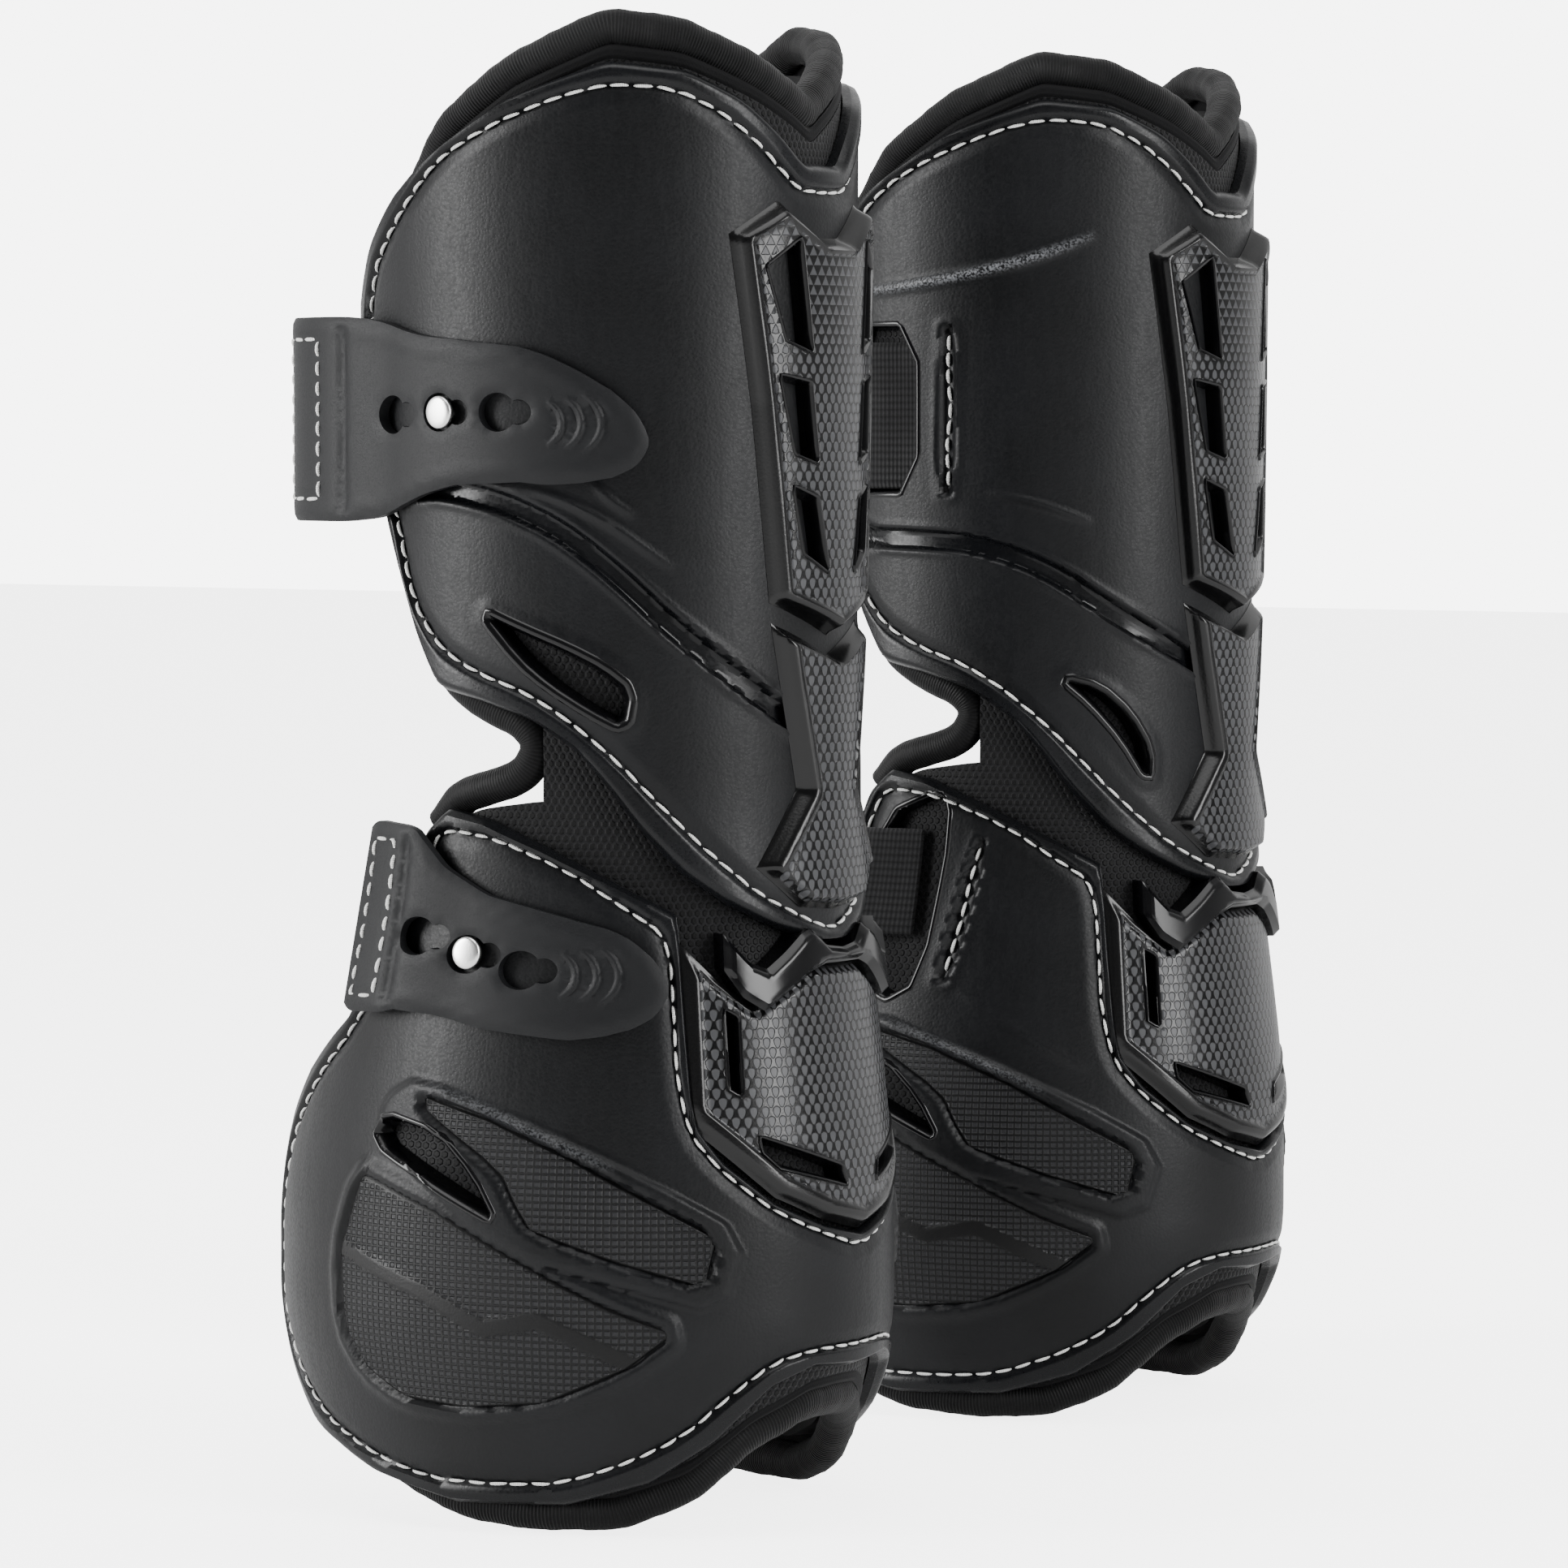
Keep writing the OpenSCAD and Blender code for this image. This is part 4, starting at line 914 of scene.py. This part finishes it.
def lining(side, name, low, high, material, wrinkle):
    patches = []
    for start, stop, bottom, top in ((-75, 75, liner_low, crest), (75, 138, liner_gap_top, crest),
        (-138, -75, liner_gap_top, crest), (75, 146, liner_low, liner_gap_low),
        (-146, -75, liner_low, liner_gap_low)):
        columns = np.linspace(start, stop, max(12, int(abs(stop - start) / 1.6)))
        count = 110 if (bottom, top) == (liner_low, crest) else 50
        rows = np.linspace(0, 1, count)
        t = np.repeat(columns[:, None], count, 1)
        lowest = bottom(columns) + (above_hem if bottom is liner_low else 0)
        highest = top(columns) - (below_crest if top is crest else 0)
        z = lowest[:, None] * (1 - rows) + highest[:, None] * rows
        puff = wrinkle * np.sin(z * 0.55 + 1.3 * np.sin(t
            * 0.07)) * np.exp(-((z - 150 - 0.4 * np.abs(t)) / 18) ** 2)
        verts, faces, kinds = slab(t, z, low, high + np.minimum(puff, 0))
        patches.append((verts, faces, sheet_uv(t, z, 58.0)))
    shift = np.cumsum([0] + [len(p[0]) for p in patches])
    return build(name, side, np.vstack([p[0] for p in patches]),
        np.vstack([p[1] + k for p, k in zip(patches, shift)]), [material],
        np.vstack([p[2] for p in patches]), sharp=60)

def flexing(piece):
    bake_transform(piece)

for piece in both("spacer_mesh", None, ["upper_mesh", "lower_mesh"],
                  lambda side: lining(side, "spacer_mesh", -4.6, -3.4, hex_mesh, 0.4)):
    flexing(piece)
for piece in both("neoprene_liner", None, ["upper_liner", "lower_liner"],
                  lambda side: lining(side, "neoprene_liner", -10.8, -5.0, neoprene, 0.6)):
    flexing(piece)

# %% [markdown]
# ### Rolls and notch bindings
# A roll is a strip of neoprene wrapped round a soft core and sewn down, so it gathers in fine
# ribs across its length. It could be a curve with a round bevel; a tube written point by point
# is used because the core is slightly uneven along its run.

# %% Build the rolls and bindings
def tube(path, out, radius, sides=22, wobble=0.12):
    """A closed tube along a path of angles and heights, a little uneven along its run."""
    path = np.array(path, float)
    gap = np.gradient(path, axis=0)
    degree = 51 * math.pi / 180
    run = np.stack([gap[:, 0] * degree, gap[:, 1]], -1)
    run /= np.linalg.norm(run, axis=1)[:, None]
    travel = np.concatenate([[0], np.cumsum(np.hypot(np.diff(path[:, 0]) * degree, np.diff(path[:, 1])))])
    around = np.linspace(0, 2 * np.pi, sides, endpoint=False)
    uneven = 1 + wobble * 0.35 * (np.sin(travel * 0.31) + np.sin(travel * 0.83 + 1.7) + 0.6
        * np.sin(travel * 1.7))[:, None] / 2.6
    c = radius * np.cos(around) * uneven
    h = radius * np.sin(around) * uneven
    t = path[:, 0][:, None] - run[:, 1][:, None] * h / degree
    z = path[:, 1][:, None] + run[:, 0][:, None] * h
    points = skin(t, z, out + c)
    n, m = t.shape
    index = np.arange(n * m).reshape(n, m)
    after = np.roll(index, -1, 1)
    quads = np.stack([index[:-1], index[1:], after[1:], after[:-1]], -1).reshape(-1, 4)
    faces = [tuple(f) for f in quads.tolist()] + [tuple(index[0].tolist()), tuple(index[-1][::-1].tolist())]
    uv = np.stack([np.repeat(travel[:, None], m, 1), np.repeat(around[None] * radius, n, 0)],
        -1).reshape(-1, 2) / 100
    return points.reshape(-1, 3), faces, uv

def join(parts):
    shift = np.cumsum([0] + [len(p[0]) for p in parts])
    faces = [tuple(i + k for i in f) for p, k in zip(parts, shift) for f in p[1]]
    return np.vstack([p[0] for p in parts]), faces, np.vstack([p[2] for p in parts])

def resample(points, gap):
    p = np.array(points, float)
    far = np.concatenate([[0], np.cumsum(np.hypot(np.diff(p[:, 0]) * 0.95, np.diff(p[:, 1])))])
    at = np.linspace(0, far[-1], max(2, int(round(far[-1] / gap)) + 1))
    return np.stack([np.interp(at, far, p[:, 0]), np.interp(at, far, p[:, 1])], -1)

roll_middle, roll_radius, binding_radius = -7.1, 4.3, 3.9

def roll(side, name, path, radius):
    verts, faces, uv = tube(resample(path, 1.3), roll_middle, radius)
    return build(name, side, verts, faces, [ribbed], uv, masks={"ribs": np.ones(len(verts))})

top_path = [(a, crest(a) - roll_radius) for a in np.linspace(-132, 132, 200)]
hem_path = [(a, hem(a) + roll_radius) for a in np.linspace(-118.8, 118.8, 200)]
for name, path, body in (("top_roll", top_path, "upper"), ("bottom_roll", hem_path, "lower")):
    for piece in both(name, body, [name], lambda side: roll(side, name, path, roll_radius)):
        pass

notch = [(112, 201), (103, 189), (92, 183.5), (83, 180.5), (78.5, 177), (78, 173.5), (80.5, 169.5),
    (85, 167), (93, 165), (101, 163), (107.5, 157)]

def notch_binding(side):
    path = resample(rounded(notch, 3, False), 0.9)
    verts, faces, uv = join([tube(path * (flank, 1), roll_middle, binding_radius, 18, 0.05)
        for flank in (1, -1)])
    return build("notch_binding", side, verts, faces, [ribbed], uv,
        masks={"ribs": np.full(len(verts), 0.25)})

for piece in both("notch_binding", None, ["notch_binding"], notch_binding):
    side = piece.name.split("_")[0]
    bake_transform(piece)

# %% [markdown]
# ### Seam bands
# The roll is sewn to the lining with a flat band. It shows as a smooth step between the roll
# and the mesh, with a fine groove along its middle.

# %% Build the seam bands
def seam_band(side, name, edge, offset, width):
    columns = np.linspace(-131, 131, 220) if offset < 0 else np.linspace(-118, 118, 200)
    rows = np.linspace(0, 1, 9)
    t = np.repeat(columns[:, None], 9, 1)
    z = (edge(columns) + offset)[:, None] + width * rows[None]
    h = -3.9 + 0.75 * np.sin(np.pi * rows)[None] - 0.3 * np.exp(-((rows - 0.5) / 0.08) ** 2)[None] + 0 * t
    verts, faces, kinds = slab(t, z, -5.4, h)
    return build(name, side, verts, faces, [neoprene], sheet_uv(t, z, 58))

both("top_seam_band", "upper", [], lambda side: seam_band(side, "top_seam_band", crest, -11.4, 3.4))
both("bottom_seam_band", "lower", [], lambda side: seam_band(side, "bottom_seam_band", hem, 7.6,
    3.2))

# %% [markdown]
# ## Closures
# An elastic comes out of a window in the inner flank, runs round the open front and ends under a
# moulded rubber tab. Three keyholes in the tab give three sizes; one sits over a polished stud.

# %% Build the elastics
def elastic(side, name, ends, offsets, middle, half):
    angles = np.linspace(ends[0], ends[1], 170)
    rows = np.linspace(-1, 1, 25)
    a, out = zip(*offsets)
    t = np.repeat(angles[:, None], 25, 1)
    z = middle + half * rows[None] + 0 * t
    low = np.interp(t, a, out)
    edge = 0.35 * (1 - ease((1 - np.abs(rows)) / 0.06))[None]
    ripple = 0.12 * np.sin(t * 1.1) * (1 - rows[None] ** 2)
    verts, faces, kinds = slab(t, z, low + edge, low + 1.6 - edge + np.minimum(ripple, 0))
    return build(name, side, verts, faces, [webbing], sheet_uv(t, z, 58), sharp=60)

both("upper_elastic", "upper", ["upper_elastic"],
    lambda side: elastic(side, "upper_elastic", (130, 268),
    [(129, 4.3), (138, 8.4), (146, 10.8), (152, 10.6), (165, 7.4), (180, 4.2), (200, 2.0), (222, 0.9),
    (248, 0.6), (264, -2.3), (268, -2.3)], 248, 18))
both("lower_elastic", "lower", ["lower_elastic"],
    lambda side: elastic(side, "lower_elastic", (107, 271),
    [(106, 0.5), (118, 0.9), (122, -2.5), (128, -8.5), (135, -14.5), (145, -20), (160, -24.5),
    (180, -26), (200, -24.5), (215, -20), (225, -14.5), (232, -8.5), (238, -2.5), (243, 0.6),
    (259, 0.5), (271, -2.3)], 133, 13))

# %% [markdown]
# ### Rubber tabs
# A tab is one moulding: a sewn end, a groove where it bends, three keyholes, and a rounded tip
# with shallow arcs for the thumb. Its outline and holes are drawn flat and filled with
# triangles that keep to the drawn edges, then wrapped on the boot and given a thickness.

# %% Flat shapes of the tabs
tab_float, tab_wall = 0.7, 2.8

def keyhole(s, z, big=4.3, small=2.8, shift=4.6):
    cut = -(shift ** 2 + big ** 2 - small ** 2) / (2 * shift)
    half = math.sqrt(big ** 2 - cut ** 2)
    wide, near = math.atan2(half, cut), math.atan2(half, cut + shift)
    a = np.linspace(wide, -wide, 26)
    b = np.linspace(2 * math.pi - near, near, 16)[1:-1]
    return np.vstack([np.stack([s + big * np.cos(a), z + big * np.sin(a)], -1),
                      np.stack([s - shift + small * np.cos(b), z + small * np.sin(b)], -1)])

def fill(outline, holes, extra, gap):
    points, edges = [], []
    for loop in [outline] + holes:
        first = len(points)
        points += [Vector(p) for p in loop]
        edges += [(first + i, first + (i + 1) % len(loop)) for i in range(len(loop))]
    low, high = outline.min(0), outline.max(0)
    gx, gy = np.meshgrid(np.arange(low[0], high[0], gap), np.arange(low[1], high[1], gap * 0.9))
    gx[::2] += gap / 2
    free = np.stack([gx.ravel(), gy.ravel()], -1)
    free = np.vstack([free] + extra) if extra else free
    keep = shape_distance(free[:, 0], free[:, 1], outline) > gap * 0.45
    for hole in holes:
        keep &= shape_distance(free[:, 0], free[:, 1], hole) < -gap * 0.45
    points += [Vector(p) for p in free[keep]]
    co, _, faces, *_ = delaunay_2d_cdt(points, edges, [], 0, 1e-5)
    co = np.array([tuple(p) for p in co])
    faces = np.array([f for f in faces])
    mid = co[faces].mean(1)
    keep = shape_distance(mid[:, 0], mid[:, 1], outline) > 0
    for hole in holes:
        keep &= shape_distance(mid[:, 0], mid[:, 1], hole) < 0
    return co, faces[keep]

def tab(side, name, middle, half, rise, holes, fold, sewn):
    """A moulded tab: its flat shape is drawn, filled with triangles, wrapped and thickened."""
    radius, wall = upper_radius, tab_wall
    (am, zm), (ah, zh) = zip(*middle), zip(*half)
    k = math.radians(1) * radius
    angles = np.concatenate([np.linspace(am[0], am[0] + 8, 14)[:-1], np.linspace(am[0] + 8, am[-1], 60)])
    centre, width = np.interp(angles, am, zm), np.interp(angles, ah, zh)
    width = np.convolve(np.pad(width, 2, "edge"), [0.1, 0.2, 0.4, 0.2, 0.1], "valid")
    width[0] = 0.8
    outline = np.vstack([np.stack([angles * k, centre - width], -1),
        np.stack([angles * k, centre + width], -1)[::-1]])
    loops = [keyhole(t * k, z) for t, z in holes]
    arcs = []
    for i in range(3):
        a = np.linspace(-0.95, 0.95, 30)
        centre_s, centre_z = (am[0] + 19 + 3.4 * i) * k, np.interp(am[0] + 12, am, zm) + 1.5
        arcs.append(np.stack([centre_s - (8.5 - 0.8 * i) * np.cos(a),
            centre_z + (7.5 - 0.8 * i) * np.sin(a)], -1))
    extra = [arc + (off, 0) for arc in arcs for off in (-1.1, -0.65, -0.25, 0.15, 0.55, 1.0)]
    extra += [np.stack([np.full(40, fold * k + off),
        np.linspace(centre.min() - 25, centre.max() + 25, 40)], -1)
        for off in (-1.6, -0.8, 0, 0.8, 1.6)]
    co, faces = fill(outline, loops, extra, 1.5)
    s, z = co[:, 0], co[:, 1]
    t = s / k
    d = np.minimum(shape_distance(s, z, outline), 50)
    rim = np.min([np.abs(shape_distance(s, z, loop)) for loop in loops], 0)
    start, run, lift = rise
    base = tab_float + lift * ease((t - start) / run)
    curl = 0.55 * (1 - ease(d / 1.3))
    high = base + wall - curl - 0.35 * (1 - ease(rim / 0.7)) + 0.25 * ease((d - 2.4) / 0.8) * (1
        - ease((d - 3.2) / 1.2))
    for arc in arcs:
        e, along = line_distance(s, z, arc, True)
        high = high + (0.42 * np.exp(-((e - 0.2) / 0.3) ** 2) - 0.3
            * np.exp(-((e - 0.85) / 0.35) ** 2)) * np.clip(np.sin(np.pi * along), 0, 1) ** 0.5
    groove = np.exp(-((t - fold) * k / 1.25) ** 2) * ease((d - 1.6) / 1.5)
    high = high - 0.9 * groove
    box = flat(sewn, radius)
    seam = np.abs(shape_distance(s, z, box))
    high = high - 0.3 * np.exp(-(seam / 0.8) ** 2)
    low = base + 0.5 * (1 - ease(d / 1.3))
    top, under = skin(t, z, high), skin(t, z, low)
    edges = np.sort(np.concatenate([faces[:, [0, 1]], faces[:, [1, 2]], faces[:, [2, 0]]]), 1)
    keys, counts = np.unique(edges, axis=0, return_counts=True)
    rimmed = {tuple(e) for e in keys[counts == 1].tolist()}
    n, out = len(co), []
    for a, b, c in faces.tolist():
        out.append((c, b, a))
        out.append((a + n, b + n, c + n))
        for i, j in ((a, b), (b, c), (c, a)):
            if (min(i, j), max(i, j)) in rimmed:
                out.append((i, j, j + n, i + n))
    uv = np.stack([s, z], -1) / 100
    return build(name, side, np.vstack([top, under]), out, [rubber], np.vstack([uv, uv]), sharp=48)

upper_tab_sewn = [(134.5, 229), (146.5, 229), (146.5, 265), (134.5, 265)]
lower_tab_sewn = [(108.5, 118.5), (115.6, 118.5), (115.6, 153.5), (108.5, 153.5)]
upper_tab_shape = dict(middle=[(50, 242), (64, 245), (78, 248), (94, 248.5), (108, 247.5), (118, 247),
    (150, 247)], half=[(50, 0.8), (51, 3.6), (53, 6.2), (57, 9), (64, 12), (72, 14.2), (80, 15),
    (94, 16), (103, 17.5), (110, 19.5), (118, 22), (128, 23), (147, 23), (149, 22.2), (150, 20.6)],
    rise=(112, 37, 12.5), holes=[(83, 248.5), (98, 248.5), (113, 248)], fold=127.6, sewn=upper_tab_sewn)
lower_tab_shape = dict(middle=[(46, 122), (56, 123.5), (65, 124), (84, 127.5), (96, 132), (103, 136),
    (118, 136)], half=[(46, 0.8), (47, 3.4), (49, 6.4), (53, 9.4), (58, 11.6), (66, 13.2), (76, 14),
    (86, 14.6), (95, 16), (101, 19), (105, 20.8), (116, 21.5), (117.4, 20.8), (118, 19.2)],
    rise=(88, 20, 2.4), holes=[(76, 126), (88, 129), (100, 132.5)], fold=105, sewn=lower_tab_sewn)

for level, facts in (("upper", upper_tab_shape), ("lower", lower_tab_shape)):
    for piece in both(f"{level}_tab", None, [f"{level}_tab", f"{level}_tab_end"],
        lambda side: tab(side, f"{level}_tab", **facts)):
        side = piece.name.split("_")[0]
        a, b = (skin(facts["fold"] + off, facts["middle"][-1][1], 3.0) / 1000 for off in (1.6, -1.6))
        if side == "right":
            a, b = a * (1, -1, 1), b * (1, -1, 1)
        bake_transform(piece)

# %% [markdown]
# ### Lock stitches
# Thick white thread follows every border. Each stitch is a short spindle that dips at both ends
# where the thread goes down its hole, so the line reads as sewing and not as a painted dash.

# %% Build the stitches
stitch_random = np.random.default_rng(7)

def stitches(paths, pitch, length, thick, out_at):
    parts = []
    rings = np.array([0.0, 0.12, 0.35, 0.65, 0.88, 1.0])
    swell = np.array([0.35, 0.8, 1.0, 1.0, 0.8, 0.35])
    sink = np.array([-0.65, -0.15, 0.1, 0.1, -0.15, -0.65])
    around = np.linspace(0, 2 * np.pi, 8, endpoint=False)
    for path, radius in paths:
        k = math.radians(1) * radius
        p = np.array(path, float) * (k, 1)
        far = np.concatenate([[0], np.cumsum(np.hypot(*np.diff(p, axis=0).T))])
        count = int(round(far[-1] / pitch))
        for i in range(count):
            at = (i + 0.5) * far[-1] / count + stitch_random.uniform(-0.15, 0.15)
            size = length * stitch_random.uniform(0.94, 1.04)
            span = at + (rings - 0.5) * size
            s, z = np.interp(span, far, p[:, 0]), np.interp(span, far, p[:, 1])
            lean = np.array([np.gradient(s).mean(), np.gradient(z).mean()])
            lean /= np.linalg.norm(lean) + 1e-9
            tilt = stitch_random.uniform(-0.12, 0.12) * (rings - 0.5) * 2
            w = thick / 2 * swell[:, None] * np.cos(around)[None] + tilt[:, None]
            h = thick / 2 * swell[:, None] * np.sin(around)[None] + sink[:, None] * thick
            ss, zz = s[:, None] - lean[1] * w, z[:, None] + lean[0] * w
            verts = skin(ss / k, zz, out_at(s / k, z)[:, None] + h)
            index = np.arange(48).reshape(6, 8)
            after = np.roll(index, -1, 1)
            quads = np.stack([index[:-1], index[1:], after[1:], after[:-1]], -1).reshape(-1, 4).tolist()
            faces = [tuple(f) for f in quads] + [tuple(range(8)), tuple(range(47, 39, -1))]
            uv = np.stack([np.repeat(span[:, None], 8, 1), np.repeat(around[None], 6, 0) * 10],
                -1).reshape(-1, 2) / 100
            parts.append((verts.reshape(-1, 3), faces, uv))
    return parts

def closed(points, turns=1):
    p = rounded(points, turns)
    return np.vstack([p, p[:1]])

def in_groove(t, z):
    return np.full(np.shape(t), 0.18)

def in_slot(t, z):
    return np.full(np.shape(t), -0.65)

def sewing(side, name, paths, pitch, length, thick, out_at):
    verts, faces, uv = join(stitches(paths, pitch, length, thick, out_at))
    return build(name, side, verts, faces, [thread_white], uv)

def sewn_line(name, body, path, radius, sizes, out_at):
    both(name, body, [], lambda side: sewing(side, name, [(path, radius)], *sizes, out_at))

# Pitch, length and thickness of a stitch in millimetres
border_stitch, slot_stitch, tab_stitch = (4.9, 4.05, 0.76), (4.4, 3.7, 0.9), (4.6, 3.7, 0.85)
upper_slot = [(-82.5, 230.5), (-83, 240), (-82, 250), (-82.8, 259), (-82.3, 268)]
lower_slot = [(-73.2, 142.5), (-75.4, 133), (-76.6, 124), (-79.4, 111)]
sewn_line("tendon_shell_stitches", "upper", closed(upper_sewn), upper_radius, border_stitch,
    in_groove)
sewn_line("fetlock_shell_stitches", "lower", closed(lower_sewn), lower_radius, border_stitch,
    in_groove)
sewn_line("upper_slot_stitches", "upper", upper_slot, upper_radius, slot_stitch, in_slot)
sewn_line("lower_slot_stitches", "lower", lower_slot, lower_radius, slot_stitch, in_slot)

def tab_out(facts):
    start, run, lift = facts["rise"]
    return lambda t, z: tab_float + tab_wall - 0.1 + lift * ease((t - start) / run)

for level, facts in (("upper", upper_tab_shape), ("lower", lower_tab_shape)):
    sewn_line(f"{level}_tab_stitches", level, closed(facts["sewn"], 0), upper_radius, tab_stitch,
              tab_out(facts))

# %% [markdown]
# ### Studs
# A stud is turned: a neck and a flat head with a small rounded edge, a shade domed. It is spun
# from its profile. The backing washers stay as the frame gives them, in bright steel.

# %% Build the studs
def stud(side, name, place):
    profile = [(0.0, -4.4), (2.1, -4.4), (2.1, 2.1), (2.6, 2.2), (3.4, 2.25), (3.66, 2.5), (3.7, 2.9),
        (3.62, 3.4), (3.35, 3.72), (2.9, 3.85), (2.2, 3.92), (1.2, 3.98), (0.0, 4.0)]
    t, z = place
    a = math.radians(t)
    facing = math.atan2(-math.sin(a) * half_depth(z), math.cos(a) * half_width(z))
    slope = math.atan((half_width(z + 1) - half_width(z - 1)) / 2)
    out = np.array([math.cos(slope) * math.cos(facing), math.cos(slope) * math.sin(facing),
        -math.sin(slope)])
    across = np.array([-math.sin(facing), math.cos(facing), 0])
    up = np.cross(out, across)
    turn = np.linspace(0, 2 * np.pi, 48, endpoint=False)
    rings = [skin(t, z, 0.0) + h * out + r * (np.cos(turn)[:, None] * across + np.sin(turn)[:, None]
        * up) for r, h in profile[1:-1]]
    verts = np.vstack([skin(t, z, 0.0) + profile[0][1] * out] + rings
        + [skin(t, z, 0.0) + profile[-1][1] * out])
    index = 1 + np.arange(48 * len(rings)).reshape(len(rings), 48)
    after = np.roll(index, -1, 1)
    faces = [tuple(f) for f in np.stack([index[:-1], after[:-1], after[1:], index[1:]], -1).reshape(-1,
        4).tolist()]
    last = len(verts) - 1
    faces += [(0, int(b), int(a)) for a, b in zip(index[0], after[0])] + [(last, int(a), int(b))
        for a, b in zip(index[-1], after[-1])]
    return build(name, side, verts, faces, [steel], sharp=40)

both("upper_stud", "upper", ["upper_stud"], lambda side: stud(side, "upper_stud_head", (98, 248.5)))
both("lower_stud", "lower", ["lower_stud"], lambda side: stud(side, "lower_stud_head", (88, 129)))
for name in ("left_upper_washer", "left_lower_washer", "right_upper_washer", "right_lower_washer"):
    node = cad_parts[name]
    node.data.materials.clear()
    node.data.materials.append(steel)
print("washers finished in steel")

# %% [markdown]
# ## Floor, light and camera
# A plain pale floor runs up into a pale world. The camera sees both near white, as in the
# photo, while they light the boots more weakly, so that black stays black; the world is brighter
# behind the boots. Broad lights from the front left and high right draw the long soft sheen down
# the shells that shows a black object's form.

# %% Stage
floor_mesh = bpy.data.meshes.new("floor")
floor_mesh.from_pydata([(-6, -6, -0.0005), (6, -6, -0.0005), (6, 6, -0.0005), (-6, 6, -0.0005)], [],
    [(0, 1, 2, 3)])
floor = bpy.data.objects.new("floor", floor_mesh)
bpy.context.collection.objects.link(floor)
pale, tree, shader = finish("pale_floor", (0.93, 0.93, 0.93), 0.7)
shader.inputs["Emission Color"].default_value = (1, 1, 1, 1)
feed(tree, shader.inputs["Emission Strength"], calc(tree, "MULTIPLY",
    add(tree, "ShaderNodeLightPath").outputs["Is Camera Ray"], 4.0))
floor_mesh.materials.append(pale)

world = bpy.data.worlds.new("studio")
bpy.context.scene.world = world
world.use_nodes = True
tree = world.node_tree
sky = add(tree, "ShaderNodeTexCoord").outputs["Generated"]
toward_back = vector(tree, "DOT_PRODUCT", sky, (-0.545, 0.839, 0.0))
tree.nodes["Background"].inputs[0].default_value = (1, 1, 1, 1)
seen = add(tree, "ShaderNodeLightPath").outputs["Is Camera Ray"]
glow = spread(tree, toward_back, -0.4, 0.75, 0.2, 1.5)
feed(tree, tree.nodes["Background"].inputs[1], calc(tree, "MULTIPLY_ADD", seen, 5.0, glow))

def soft_light(name, place, target, size, power):
    lamp = bpy.data.lights.new(name, "AREA")
    lamp.shape = "RECTANGLE"
    lamp.size, lamp.size_y = size
    lamp.energy = power
    made = bpy.data.objects.new(name, lamp)
    made.location = place
    made.rotation_euler = (Vector(target) - Vector(place)).to_track_quat("-Z", "Y").to_euler()
    bpy.context.collection.objects.link(made)

soft_light("left_window", (-1.3, -1.4, 0.7), (0, 0, 0.16), (0.6, 1.2), 44)
soft_light("right_window", (1.6, -0.2, 0.8), (0, 0, 0.2), (0.5, 1.4), 30)
soft_light("top_soft", (0.2, -0.4, 1.8), (0, 0, 0.2), (1.2, 1.2), 16)
print("lights set")

# %% Camera
camera_data = bpy.data.cameras.new("camera")
camera_data.sensor_width = 36
camera_data.lens = 140.1
camera = bpy.data.objects.new("camera", camera_data)
bpy.context.collection.objects.link(camera)
turn, tilt, far, aside = math.radians(33), math.radians(3.38), 1.468, -0.0114
camera.location = (math.sin(turn) * far + aside * math.cos(turn),
    -math.cos(turn) * far + aside * math.sin(turn), 0.246)
camera.rotation_euler = (math.radians(90) - tilt, 0, turn)
bpy.context.scene.camera = camera
